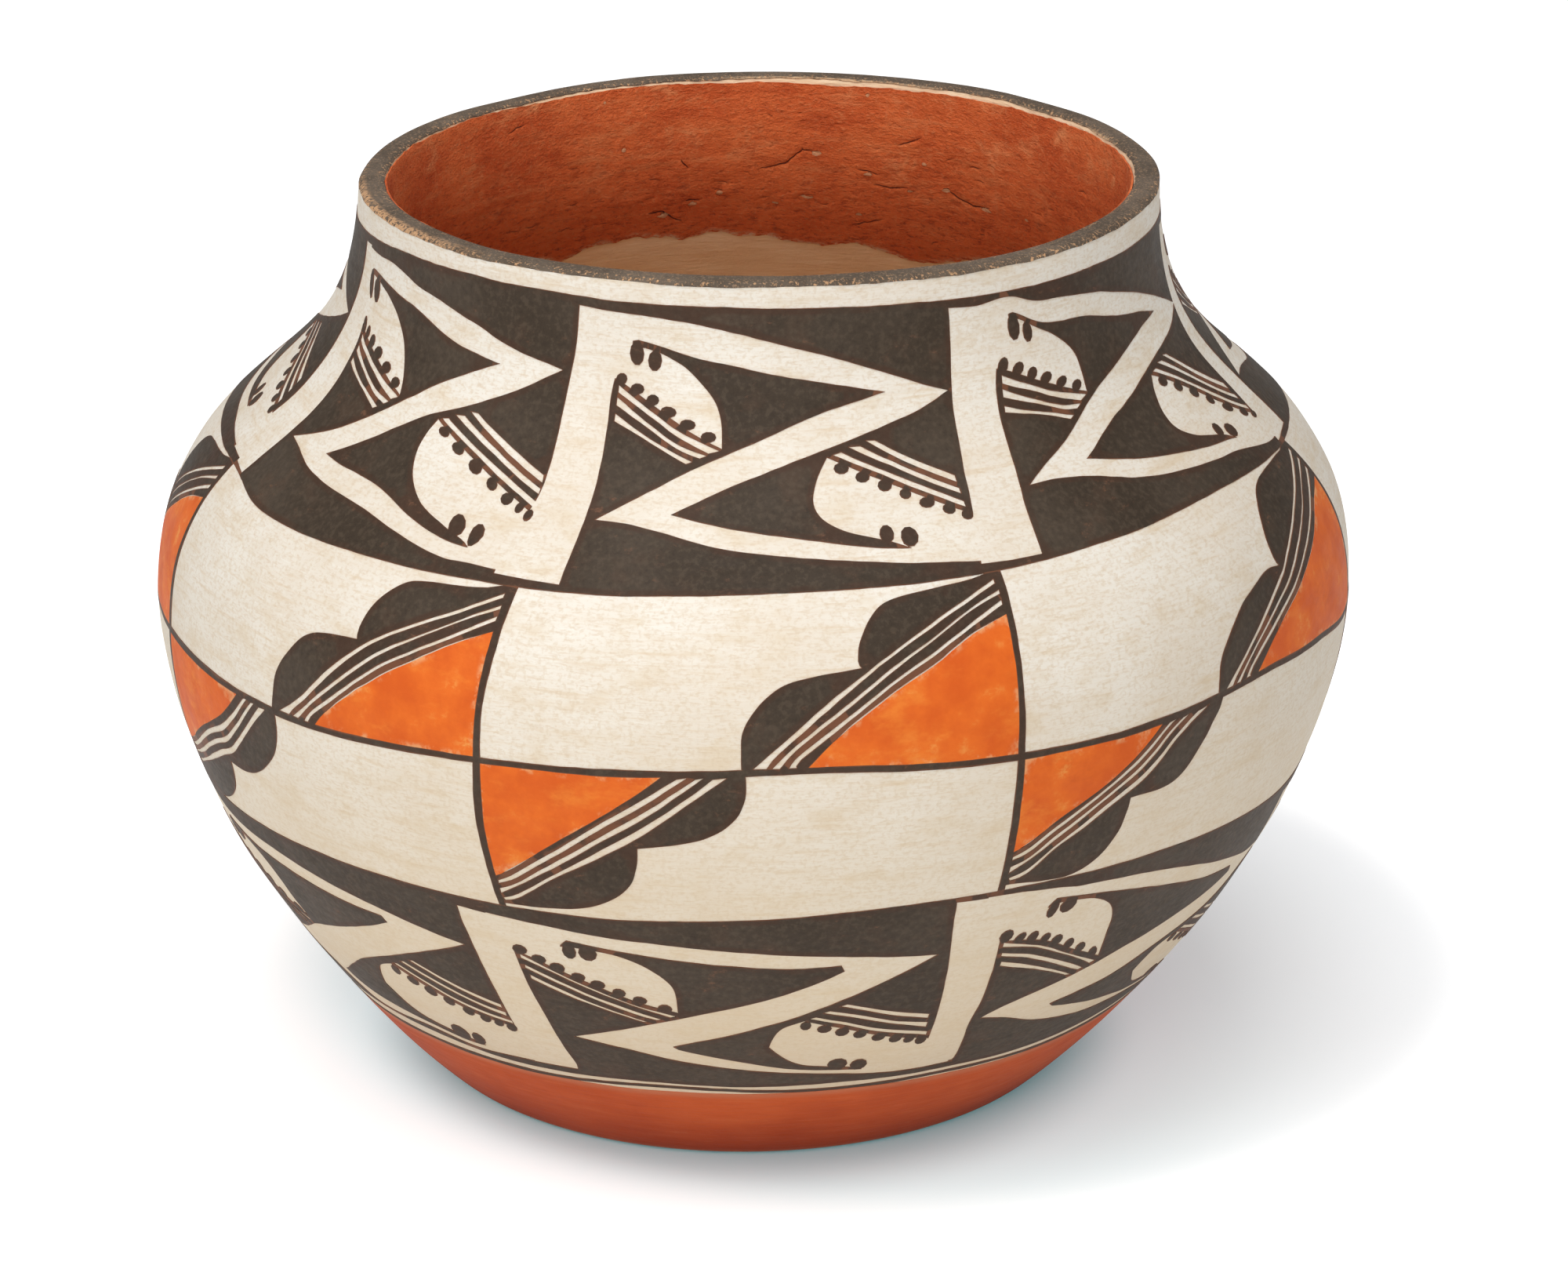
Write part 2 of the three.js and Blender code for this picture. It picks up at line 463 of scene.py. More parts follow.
def white_slip_colour(mm):
    """Cream slip: tan clouds where it is thin, fine strokes round the jar, small tan specks, and painted warm
    shade that deepens towards the foot.
    """
    strokes = mm.stretched(1, 1, 14).grain(16, 5, 0.65, 8)
    fine = mm.stretched(1, 1, 4).grain(1.6, 2, 0.5, 14)
    return layered(
        tone(236, 229, 217),
        (mm.grain(34, 4, 0.6, 21).between(0.35, 0.7), 229, 218, 202),
        (mm.stretched(1, 1, 2.2).grain(11, 4, 0.62, 2).between(0.46, 0.74) * 0.6, 219, 199, 169),
        (strokes.between(0.5, 0.74) * 0.55, 216, 192, 158),
        (strokes.between(0.45, 0.2) * 0.5, 243, 239, 231),
        (fine.between(0.48, 0.74) * 0.4, 208, 182, 148),
        (mm.grain(0.9, 2, 0.5, 16).between(0.5, 0.66) * 0.4, 214, 194, 166),
        # Painted shade: the slip is made warmer and darker below the belly, most near the foot, where the
        # lower half falls in shade.
        ((1 - mm.part("Z").between(30, 150)) * 0.62, 221, 198, 160),
        (mm.specks(3.4, 0.4, 40) * 0.5, 204, 158, 108),
        (mm.specks(9.5, 0.16, 3) * 0.7, 150, 112, 80),
    )


white_finish, mm = new_finish("white_slip")
polish = mm.stretched(1, 1, 12).grain(9, 4, 0.6, 5)
relief = polish * 0.7 + mm.grain(2.2, 3, 0.5, 6) * 0.5 - mm.specks(9.5, 0.16, 3)
set_finish(white_finish, white_slip_colour(mm), 0.46 + polish * 0.2, relief, 0.12)
WHITE_FOOT = 32.5
WHITE_TOP = WALL_LENGTH - 0.7
white_coat = lay_coat(
    "white_slip_coat",
    lambda turn: WHITE_FOOT,
    lambda turn: WHITE_TOP,
    rows=100,
    columns=COLUMNS,
    raised=0.2,
    thickness=0.22,
)
white_coat.data.materials.append(white_finish)
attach(white_coat, "root")

# The red slip of the foot: iron-red clay brushed round the jar below the painting and rubbed once. It is
# thin and lighter along its upper edge, streaky, and scuffed towards the ground.
def red_slip_colour(mm, edge):
    """Red slip: streaks round the jar, darker and lighter, with pale scuffs low down, a thin edge, and
    painted shade that darkens it next to the ground.
    """
    streaks = mm.stretched(1, 1, 11).grain(15, 5, 0.65, 31)
    fine = mm.stretched(1, 1, 16).grain(6, 4, 0.7, 13)
    clouds = mm.grain(24, 3, 0.55, 9)
    height = mm.part("Z")
    scuffed = (1 - height.between(4, 22)) * 0.9 + 0.12
    return layered(
        tone(190, 80, 36),
        (clouds.between(0.3, 0.7), 207, 93, 44),
        (streaks.between(0.5, 0.8) * 0.6, 216, 112, 62),
        (streaks.between(0.48, 0.2) * 0.5, 168, 60, 22),
        # Painted shade: the slip is made darker over its lowest 20 mm, next to the floor.
        ((1 - height.between(0, 20)) * 0.6, 146, 46, 12),
        (fine.between(0.6, 0.78) * clouds.between(0.35, 0.6) * scuffed * 0.6, 206, 140, 98),
        (mm.specks(3.4, 0.25, 8) * scuffed * 0.5, 214, 160, 120),
        (((1 - edge.between(0.2, 3.2)) * (fine * 0.8 + 0.25)).clamped(), 198, 124, 90),
    )


red_finish, mm = new_finish("red_slip")
streaks = mm.stretched(1, 1, 11).grain(8, 4, 0.65, 31)
relief = streaks + mm.grain(1.5) * 0.4
colour = red_slip_colour(mm, mm.attribute("edge"))
set_finish(red_finish, colour, 0.5 + streaks * 0.25, relief, 0.18, shine=0.14)
RED_FOOT = 0.9
RED_TOP = 35.2
red_coat = lay_coat(
    "red_slip_coat",
    lambda turn: RED_FOOT,
    lambda turn: RED_TOP + 0.35 * waver(turn, 35, 22) + 0.12 * waver(turn, 35, 4, 1),
    rows=28,
    columns=480,
    raised=0.3,
    thickness=0.3,
)
red_coat.data.materials.append(red_finish)
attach(red_coat, "root")

# The thin line over the foot: one turn of the jar against a loaded yucca brush, in the same brown-black
# paint as the designs, above the edge of the red slip.
def black_paint_colour(mm, edge):
    """Brown-black paint: browner where the outline strokes went, with a red-brown fringe where it thins,
    and pinholes where it lifted from the slip."""
    clouds = mm.grain(9, 4, 0.6, 51)
    wisps = mm.stretched(1, 1, 2).grain(3.6, 5, 0.75, 61)
    fine = mm.grain(1.3, 3, 0.6, 62)
    return layered(
        tone(60, 49, 38),
        (mm.grain(30, 3, 0.5, 15).between(0.35, 0.7), 72, 61, 50),
        (clouds.between(0.5, 0.72) * 0.45, 84, 64, 50),
        (fine.between(0.46, 0.66) * 0.35, 92, 78, 64),
        (fine.between(0.44, 0.3) * 0.35, 44, 35, 27),
        ((1 - edge.between(0.9, 1.7)) * clouds.between(0.3, 0.6) * 0.6, 70, 46, 33),
        (wisps.between(0.58, 0.72) * clouds.between(0.42, 0.6) * 0.6, 124, 86, 64),
        ((1 - edge.between(0.0, 0.24)) * mm.grain(5, 3, 0.6, 71).between(0.3, 0.5) * 0.6, 134, 84, 58),
        (mm.specks(3.2, 0.25, 33) * 0.7, 150, 130, 106),
        (mm.specks(7.5, 0.22, 12) * 0.9, 214, 198, 170),
    )


black_finish, mm = new_finish("black_paint")
streaks = mm.stretched(1, 1, 3).grain(5, 4, 0.6, 19)
relief = streaks + mm.grain(1.4) * 0.5
colour = black_paint_colour(mm, mm.attribute("edge"))
set_finish(black_finish, colour, 0.5 + streaks * 0.25, relief, 0.15, shine=0.2)


def level(readings):
    """A line drawn round the jar as a smooth function of the turn, through places read along it."""
    turns = [turn for turn, along in readings]

    def reading(n):
        turn, along = readings[n % len(readings)]
        return turn + 360 * (n // len(readings)), along

    def along_at(turn):
        turn = (turn - turns[0]) % 360 + turns[0]
        i = bisect_right(turns, turn) - 1
        (t0, a0), (t1, a1), (t2, a2), (t3, a3) = (reading(n) for n in range(i - 1, i + 3))
        share = (turn - t1) / (t2 - t1)
        leave = (a2 - a0) / (t2 - t0) * (t2 - t1)
        arrive = (a3 - a1) / (t3 - t1) * (t2 - t1)
        s2, s3 = share * share, share**3
        leaving = (2 * s3 - 3 * s2 + 1) * a1 + (s3 - 2 * s2 + share) * leave
        return leaving + (3 * s2 - 2 * s3) * a2 + (s3 - s2) * arrive

    return along_at


foot_line = level([
    (-60, 36.6), (-36, 36.3), (-24, 36.4), (-10, 38.0), (6, 36.5), (24, 37.2), (48, 36.2), (90, 37),
    (135, 36.4), (180, 37.2), (230, 36.5), (265, 37.1),
])
LINE_WIDTH = 1.15
thin_line = lay_coat(
    "foot_line_paint",
    lambda turn: foot_line(turn) - LINE_WIDTH - 0.3 * waver(turn, 36, 9) - 0.08 * waver(turn, 36, 2.5, 1),
    lambda turn: foot_line(turn) + 0.12 * waver(turn, 37, 3, 2),
    rows=2,
    columns=720,
    raised=0.32,
    thickness=0.2,
)
thin_line.data.materials.append(black_finish)
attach(thin_line, "root")

# The upper band: linked angular figures left in the white of the slip, their ground filled in black. The
# painter lays it out by eye round the shoulder, seven repeats of it, outlines first and then the fill.
STIFFNESS = 40
STRAYS_REACH = 13


class Zone:
    """One zone of the painting: the lines that it runs between, how many mm a degree of turn is wide, and
    its dividers, each given by its turns at the top, half way down and at the bottom. A zone can also be
    only the stretch of the dividers from one share of their height to another. Where the painter's hand
    drew a repeat differently from the front one, its strays say from where to where places moved: turn
    and height before, turn and height after."""

    def __init__(self, low, high, dividers, breadth, start=0.0, end=1.0, strays=None):
        self.low = low
        self.high = high
        self.dividers = dividers
        self.breadth = breadth
        self.start = start
        self.end = end
        self.drifts = {k: self.drift_through(k, list(moved)) for k, moved in (strays or {}).items()}

    def divider(self, k, share):
        """The turn of a divider at a share of the zone's height."""
        top, middle, bottom = self.dividers[k % REPEATS]
        rise = self.start + share * (self.end - self.start)
        bow = (4 * middle - 2 * top - 2 * bottom) * rise * (1 - rise)
        return bottom + rise * (top - bottom) + bow + 360 * (k // REPEATS)

    def placed(self, k, turn, along):
        """Where a place drawn in the front repeat comes in repeat k."""
        share = self.share_of(turn, along)
        left, right = self.divider(FRONT, share), self.divider(FRONT + 1, share)
        left_k, right_k = self.divider(k, share), self.divider(k + 1, share)
        turn = left_k + (turn - left) / (right - left) * (right_k - left_k)
        along = self.rise(turn, share)
        aside, up = self.drifts[k](turn, along) if k in self.drifts else (0, 0)
        return turn + aside, along + up

    def rise(self, turn, share):
        """How far up the jar a share of the zone's height comes."""
        return self.low(turn) + share * (self.high(turn) - self.low(turn))

    def share_of(self, turn, along):
        """The share of the zone's height that a place has risen."""
        return (along - self.low(turn)) / (self.high(turn) - self.low(turn))

    def drift_through(self, k, moved):
        """A smooth drift of places through the strays. Away from them it dies out on the lines that bound
        the zone."""
        strays = [Vector((turn * self.breadth, along)) for turn, along, *end in moved]
        for share in (0, 0.2, 0.4, 0.6, 0.8, 1):
            turn = self.divider(k, 0.5) + share * (self.divider(k + 1, 0.5) - self.divider(k, 0.5))
            for along in (self.low(turn), self.high(turn)):
                flat = Vector((turn * self.breadth, along))
                if min((flat - stray).length for stray in strays) > STRAYS_REACH:
                    moved.append((turn, along, turn, along))
        moved = numpy.array(moved)
        starts = moved[:, :2] * (self.breadth, 1)
        moves = moved[:, 2:] - moved[:, :2]

        def pulls(places):
            gaps = ((places[:, None, :] - starts[None]) ** 2).sum(axis=2)
            return gaps * numpy.log(gaps + 1e-9)

        count = len(starts)
        system = numpy.zeros((count + 3, count + 3))
        system[:count, :count] = pulls(starts) + STIFFNESS * numpy.eye(count)
        system[:count, count:] = numpy.column_stack([numpy.ones(count), starts])
        system[count:, :count] = system[:count, count:].T
        weights = numpy.linalg.solve(system, numpy.vstack([moves, numpy.zeros((3, 2))]))

        def drift(turn, along):
            place = numpy.array([[turn * self.breadth, along]])
            plane = numpy.array([[1, turn * self.breadth, along]])
            aside, up = (pulls(place) @ weights[:count] + plane @ weights[count:])[0]
            return float(aside), float(up)

        return drift

    def crossing(self, k, rise, share):
        """A place at a share of the height, some way from one divider of repeat k to the next."""
        left, right = self.divider(k, rise), self.divider(k + 1, rise)
        turn = left + (right - left) * share
        return turn, self.rise(turn, rise)

    def ground(self, k, steps=60):
        """The outline of repeat k of the whole zone."""
        shares = [i / steps for i in range(steps)]
        bottom = [self.crossing(k, 0, share) for share in shares]
        right = [self.crossing(k, share, 1) for share in shares]
        top = [self.crossing(k, 1, 1 - share) for share in shares]
        left = [self.crossing(k, 1 - share, 0) for share in shares]
        return bottom + right + top + left


REPEATS = 7
FRONT = 1


def between_knots(before, start, end, after, share):
    """A place on the smooth curve from one knot to the next."""
    place = []
    for b, s, e, a in zip(before, start, end, after):
        bend = (2 * b - 5 * s + 4 * e - a) * share**2 + (3 * s - b - 3 * e + a) * share**3
        place.append(0.5 * (2 * s + (e - b) * share + bend))
    return tuple(place)


def brushed(stretches, breadth, step=1.0):
    """The points of a closed outline about a step apart. It is given in stretches, each a list of places
    that starts at a corner and runs smoothly on to the next stretch's corner."""
    outline = []
    for stretch, following in zip(stretches, stretches[1:] + stretches[:1]):
        knots = stretch + following[:1]
        for i in range(len(knots) - 1):
            start, end = knots[i], knots[i + 1]
            before = knots[i - 1] if i else start
            after = knots[i + 2] if i + 2 < len(knots) else end
            length = math.hypot((end[0] - start[0]) * breadth, end[1] - start[1])
            steps = max(1, round(length / step))
            outline += [between_knots(before, start, end, after, j / steps) for j in range(steps)]
    return outline


BRUSH_OVERLAP = 0.16


def bar(upper, lower):
    """The stretches of a stripe left bare, from its upper and its lower edge, each left to right. The brush
    lines on both sides reach a little over them."""
    upper = [(turn, along - BRUSH_OVERLAP) for turn, along in upper]
    lower = [(turn, along + BRUSH_OVERLAP) for turn, along in lower]
    return [upper[:-1], upper[-1:], lower[:0:-1], lower[:1]]


def dab(turn, along, wide, tall, lean=0.0):
    """The stretches of a dot or a blunt stroke set down with the brush's tip."""
    ring = [(math.cos(math.tau * i / 10), math.sin(math.tau * i / 10)) for i in range(10)]
    return [[(turn + wide * x + lean * y, along + tall * y)] for x, y in ring]


def unsteady(turn, along):
    """Where a brush line really came, beside where it was meant to go. A degree of turn counts as 2 mm."""
    aside = 0.22 * waver(turn, along, 13, 5) + 0.1 * waver(turn, along, 3.2, 6)
    upward = 0.22 * waver(turn, along, 13, 7) + 0.1 * waver(turn, along, 3.2, 8)
    return turn + aside / 2, along + upward


BARE, BLACK, ORANGE = "bare", "black", "orange"


def counterclockwise(ring):
    """The same outline, run through so that its inside lies on the left."""
    turning = sum(here.cross(there) for here, there in zip(ring, ring[1:] + ring[:1]))
    return ring if turning > 0 else ring[::-1]


def tree_of(places):
    """A tree of flat places, to find the one nearest to another place and how far it lies from it."""
    tree = KDTree(len(places))
    for i, place in enumerate(places):
        tree.insert((*place, 0), i)
    tree.balance()
    return tree


def sampled(lines, step):
    """A tree of places about a step apart along lines."""
    dense = []
    for here, there in lines:
        steps = max(1, round((there - here).length / step))
        dense += [here.lerp(there, n / steps) for n in range(steps + 1)]
    return tree_of(dense)


EDGE_SUPPORT = 0.75
EDGE_CLEARANCE = 0.6


def filled(rings, spacing, extra=()):
    """Cuts flat outlines, all of them reaching into the first, into small triangles. It gives the points
    and, for each triangle, its corners and the outlines that it lies in."""
    flat, faces, lines = [], [], []
    for ring in map(counterclockwise, rings):
        faces.append(list(range(len(flat), len(flat) + len(ring))))
        flat += ring
        lines += zip(ring, ring[1:] + ring[:1])
    near = sampled(lines, 0.5)
    asides, heights = zip(*flat[: len(rings[0])])
    left, right, bottom, top = min(asides), max(asides), min(heights), max(heights)
    inner = list(extra)
    for row in range(int((top - bottom) / spacing) + 1):
        for column in range(int((right - left) / spacing) + 1):
            place = Vector((left + (column + row % 2 / 2) * spacing, bottom + row * spacing))
            if near.find((*place, 0))[2] > spacing * 0.55:
                inner.append(place)
    for face in faces:
        for before, i, after in zip(face[-1:] + face, face, face[1:] + face[:1]):
            along = flat[after] - flat[before]
            if along.length > 0.01:
                across = Vector((-along.y, along.x)).normalized() * EDGE_SUPPORT
                beside = (flat[i] + across, flat[i] - across)
                inner += [place for place in beside if near.find((*place, 0))[2] > EDGE_CLEARANCE]
    points, _, triangles, _, _, owners = delaunay_2d_cdt(flat + inner, [], faces, 0, 0.0001, True)
    return points, [(t, o) for t, o in zip(triangles, owners) if 0 in o]


PAINT_SPACING = 2.6
PAINT_RAISED = 0.33
PAINT_THICKNESS = 0.23


def lay_paint(names, shapes, zone, k):
    """Lays shapes of paint over each other and makes a thin coat of what shows of each, named by its paint.
    Each shape is its paint and its outline; the first is the ground. The edge attribute says how many mm
    each place of a coat lies in from its edge."""
    rings = []
    for paint, outline in shapes:
        brushed_places = (unsteady(turn, along) for turn, along in outline)
        rings.append([Vector((turn * zone.breadth, along)) for turn, along in brushed_places])
    points, pieces = filled(rings, PAINT_SPACING)
    made = {}
    for paint in (BLACK, ORANGE):
        kept = [triangle for triangle, owners in pieces if shapes[max(owners)][0] == paint]
        if kept:
            made[paint] = coat_from(names[paint], points, kept, zone, k)
    return made


def only_used(points, triangles):
    """The points that the triangles use, and the triangles with their corners numbered among these."""
    used = sorted({i for triangle in triangles for i in triangle})
    number = {i: n for n, i in enumerate(used)}
    return [points[i] for i in used], [[number[i] for i in triangle] for triangle in triangles]


def sheet(name, places, triangles, **values):
    """A sheet made of triangles, with the values known at its places as attributes."""
    mesh = bpy.data.meshes.new(name)
    mesh.from_pydata(places, [], triangles)
    for attribute, known in values.items():
        mesh.attributes.new(attribute, "FLOAT", "POINT").data.foreach_set("value", known)
    made = bpy.data.objects.new(name, mesh)
    bpy.context.scene.collection.objects.link(made)
    return made


def coat_from(name, points, triangles, zone, k):
    """A thin coat on the jar from flat triangles in mm."""
    points, triangles = only_used(points, triangles)
    sides = {}
    for triangle in triangles:
        for pair in zip(triangle, (*triangle[1:], triangle[0])):
            sides[tuple(sorted(pair))] = sides.get(tuple(sorted(pair)), 0) + 1
    rim = [(points[i], points[j]) for (i, j), count in sides.items() if count == 1]
    near = sampled([side for side in rim if not all(on_cut(place, zone, k) for place in side)], 0.3)
    places = [on_skin(point.x / zone.breadth, point.y, PAINT_RAISED) for point in points]
    edge = [near.find((*point, 0))[2] for point in points]
    return thicken(sheet(name, places, triangles, edge=edge), PAINT_THICKNESS)


CUT_WIDTH = 0.35


def on_cut(point, zone, k):
    """Whether a flat place lies where one repeat's coat of paint meets the next one's."""
    turn, along = point.x / zone.breadth, point.y
    gaps = (turn - zone.divider(n, zone.share_of(turn, along)) for n in (k, k + 1))
    return any(abs(gap) * zone.breadth < CUT_WIDTH for gap in gaps)


def dress_paint(coats):
    """Gives each paint its finish and fixes it to the jar."""
    for paint, coat in coats.items():
        coat.data.materials.append(black_finish if paint == BLACK else orange_finish)
        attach(coat, "root")


neck_line = level([
    (-78, 225.1), (-54, 226.8), (-36, 227.1), (-18, 226.5), (6, 226.4), (30, 225.5), (48, 225.2), (78, 225),
    (130, 225.6), (180, 226.3), (232, 225.5),
])
shoulder_line = level([
    (-72, 167), (-60, 163.6), (-42, 163.8), (-18, 164.5), (0, 166), (18, 166.4), (36, 168), (58, 169.4),
    (78, 167.5), (130, 165), (180, 166.5), (235, 165.5),
])
UPPER_STRAYS = {
    0: [
        (-72.6, 222.7, -74.5, 223.1), (-73.5, 199.8, -72.9, 198.8), (-65, 215.9, -69, 217.1),
        (-65.2, 218.2, -69.3, 218.8), (-61.4, 215.3, -64.5, 216.9), (-54.3, 204.9, -53.7, 205.8),
        (-53.7, 196.7, -51.1, 198), (-66.6, 210.4, -65.4, 206.4), (-67, 202.6, -65.7, 199.7),
        (-57.6, 193.8, -54.9, 193.8), (-34.4, 207.9, -36.5, 209.8), (-25.8, 206.5, -26.6, 210.9),
        (-66.6, 181.5, -65.5, 179.8), (-58.7, 182, -57.3, 180.2), (-54, 214.5, -54, 216.6),
        (-54, 221.9, -54, 220.6), (-40.1, 214.7, -40.1, 215.5), (-48, 195.7, -48, 195.6),
        (-43.4, 185, -43.7, 189.4), (-40.4, 177.2, -39.4, 177.8), (-33.9, 173.4, -30, 171.4),
        (-26.8, 179.3, -25.6, 181.6), (-27, 187.3, -25.5, 188.2), (-40.4, 195, -41.9, 196.4),
        (-50, 175, -50, 176.3), (-64.7, 223.6, -64.7, 222.6), (-71.4, 223.5, -71.4, 223.1),
        (-31.8, 167.6, -31.8, 166.9), (-68.6, 170, -68.6, 169),
    ],
    2: [
        (34.4, 215.5, 36.2, 217.6), (33.8, 217.7, 35.5, 220.5), (45.5, 205.8, 46.6, 207.7),
        (46.2, 198.5, 46.4, 199.9), (32.3, 210, 33, 208), (32.2, 203.4, 32.3, 200.9),
        (42.1, 195.8, 42, 195.8), (66.5, 208.4, 67.6, 209.3), (75, 207.5, 77.5, 207.1),
        (32.3, 183.1, 32.1, 184.7), (41.2, 185.5, 41.6, 187), (49.8, 213.2, 49.8, 215.2),
        (54, 199, 54, 199.3), (59.5, 196.5, 61, 197.5), (74.4, 182.5, 76.2, 177.5),
        (74.4, 189.4, 76, 185.9), (67, 178, 67, 178.5), (26, 196, 26, 196), (60, 173, 60, 173),
        (50, 222, 50, 222), (31, 223, 31, 222.8), (40, 222.7, 40, 222.2), (78, 170.3, 78, 170.6),
        (26.3, 223.8, 26.1, 224), (26, 216.6, 26, 216.6), (25, 188.5, 24.4, 188.5), (23.9, 180, 23.9, 180),
        (31.2, 181, 30.3, 181), (30.3, 169, 29.7, 169),
    ],
    3: [
        (75.3, 216, 78.8, 216), (75.8, 195.2, 76.7, 195.6), (75.7, 185, 77.2, 183), (83, 190, 83, 190),
        (84, 215, 85, 215),
    ],
}
upper_band = Zone(
    shoulder_line,
    neck_line,
    [(-70.3, -71.1, -71.9), (-21.9, -22.5, -23), (29.3, 28, 26.6), (81, 80, 79), (132.5, 132, 131),
     (185, 184, 183), (237, 236.5, 236)],
    breadth=1.75,
    strays=UPPER_STRAYS,
)
UPPER_FIGURE = [
    [[(-24.8, 224.8)], [(-17, 224.1)], [(-17, 214)],
     [(-19, 211.5), (-19.25, 206), (-18.9, 192), (-18.95, 181)], [(-19.5, 166)],
     [(-26.6, 166.4), (-25.9, 178), (-25.1, 187), (-25.4, 203), (-24.9, 217)]],
    [[(-23, 224.6), (-16, 224), (-8, 222.6), (0, 220.1), (8, 216.8), (16, 212.6), (21, 209.6)],
     [(25, 207.3), (20, 203.9), (12, 199.7), (4, 195.2), (-4, 189.3)],
     [(-9.6, 183.6), (-4, 181.1), (4, 178.1), (12, 175.2)], [(17, 174.2)], [(27, 172)],
     [(29.6, 168.9), (22, 169.6), (12, 171.9), (4, 173.8), (-4, 176.2), (-10, 179.2), (-14, 180.7)],
     [(-17.8, 181.1), (-14, 186.4), (-8, 193.3), (0, 199.9), (8, 205)],
     [(16.3, 208.4), (12, 209.9), (0, 213.7), (-8, 216), (-14, 218.3)], [(-16.2, 219.1)], [(-19, 218)]],
]
UPPER_LOBES = [
    [[(-20.5, 217.6)],
     [(-15.2, 217.5), (-12.6, 216.3), (-9.8, 214.2), (-7.6, 211.2), (-5.6, 207.3), (-4.7, 203)],
     [(-4.5, 198.2), (-8, 200.9), (-12, 204.7), (-16, 208.6)], [(-18.6, 211)], [(-20.5, 211.4)]],
    [[(8.15, 195.9), (6.9, 192), (6.15, 187), (6.7, 183), (9, 179.6)], [(12.9, 177), (14.6, 175.8)],
     [(16.8, 173.6)], [(26.6, 170.6)], [(25.3, 179.5)],
     [(23.6, 180.4), (20, 184.2), (16, 188.5), (12, 192.4)]],
    bar([(-18.35, 209.9), (-14, 205.4), (-10, 201.5), (-4.8, 197.9)],
        [(-18.3, 208.2), (-14, 204), (-10, 200), (-6.1, 196.9)]),
    bar([(-18.35, 207.5), (-14, 202.7), (-10, 198.8), (-6.3, 196.7)],
        [(-18.35, 205.6), (-14, 201.5), (-10, 197.6), (-7.1, 195.8)]),
    bar([(-18.35, 204.1), (-14, 200), (-8, 195.3)], [(-18.35, 202.3), (-14, 199), (-8.7, 194.5)]),
    bar([(9.9, 196.9), (14, 193.1), (18, 189.2), (23.35, 183.5)],
        [(8.9, 196.2), (14, 191.7), (18, 187.5), (23.35, 181.8)]),
    bar([(12.3, 198), (16, 194.2), (20, 190), (23.35, 186.6)],
        [(10.9, 197.6), (16, 192.7), (20, 188.4), (23.35, 185)]),
    bar([(14.2, 198.9), (18, 194.9), (23.35, 189.6)], [(13.1, 198.7), (18, 193.1), (23.35, 187.7)]),
]
UPPER_DABS = [
    (-16.3, 216.3, 1, 2.4, -0.15), (-13.8, 215.1, 0.95, 2.1), (-18.1, 211.05, 0.76, 1.25),
    (-15.9, 209.25, 0.92, 1.12), (-13.7, 207.25, 0.86, 1.19), (-11.5, 205.05, 1.08, 1.19),
    (-8.9, 202.75, 1.03, 1.12), (-6.2, 200.45, 0.97, 1.12), (13.7, 178, 0.8, 2.1), (16.1, 176.9, 0.95, 2.3),
    (9.7, 193.45, 0.92, 1.25), (12.15, 191.25, 0.86, 1.25), (14.6, 188.95, 0.86, 1.38),
    (16.8, 186.55, 0.7, 1.25), (19, 184.05, 0.92, 1.25), (21.3, 182.05, 0.76, 1.25),
    (23.2, 180.15, 0.7, 1.25),
]


def drawn(zone, k, stretches):
    """An outline of the front repeat as it comes in repeat k."""
    outline = brushed(stretches, zone.breadth, 1.0)
    return [zone.placed(k, turn, along) for turn, along in outline]


def band_shapes(zone, k, figure, lobes, dabs):
    """The shapes of one repeat of a band, in painting order, with those of its neighbours that reach in."""
    shapes = [(BLACK, zone.ground(k))]
    shapes += [(BARE, drawn(zone, n, outline)) for n in (k - 1, k, k + 1) for outline in figure]
    shapes += [(BARE, drawn(zone, k, outline)) for outline in lobes]
    return shapes + [(BLACK, drawn(zone, k, dab(*touch))) for touch in dabs]


for k in range(REPEATS):
    shapes = band_shapes(upper_band, k, UPPER_FIGURE, UPPER_LOBES, UPPER_DABS)
    dress_paint(lay_paint({BLACK: f"upper_band_paint_{k + 1}"}, shapes, upper_band, k))

# The panels: two rows of rectangles round the belly, each crossed by a black sash with stepped round edges
# and three white stripes, and by a triangle of orange ochre. Their outlines are brush lines 1.5 mm wide.
def orange_colour(mm, edge):
    """Orange ochre paint: streaky, thinner and yellower in places, worn through to the slip at its edges."""
    streaks = mm.stretched(1, 1, 2).grain(13, 5, 0.65, 81)
    clouds = mm.grain(9, 4, 0.6, 82)
    worn = clouds.between(0.55, 0.78) * mm.stretched(1, 1, 1.5).grain(2.6, 4, 0.7, 83).between(0.45, 0.65)
    return layered(
        tone(214, 90, 16),
        (clouds.between(0.3, 0.7), 230, 108, 26),
        (streaks.between(0.52, 0.75) * 0.6, 238, 138, 48),
        (streaks.between(0.45, 0.2) * 0.5, 196, 78, 12),
        (worn * 0.75, 236, 168, 84),
        ((1 - edge.between(0.1, 1.4)) * mm.grain(5, 4, 0.7, 84).between(0.5, 0.66) * 0.5, 232, 190, 136),
    )


orange_finish, mm = new_finish("orange_paint")
streaks = mm.stretched(1, 1, 2).grain(6, 4, 0.6, 19)
colour = orange_colour(mm, mm.attribute("edge"))
set_finish(orange_finish, colour, 0.52 + streaks * 0.25, streaks + mm.grain(1.4) * 0.5, 0.12)

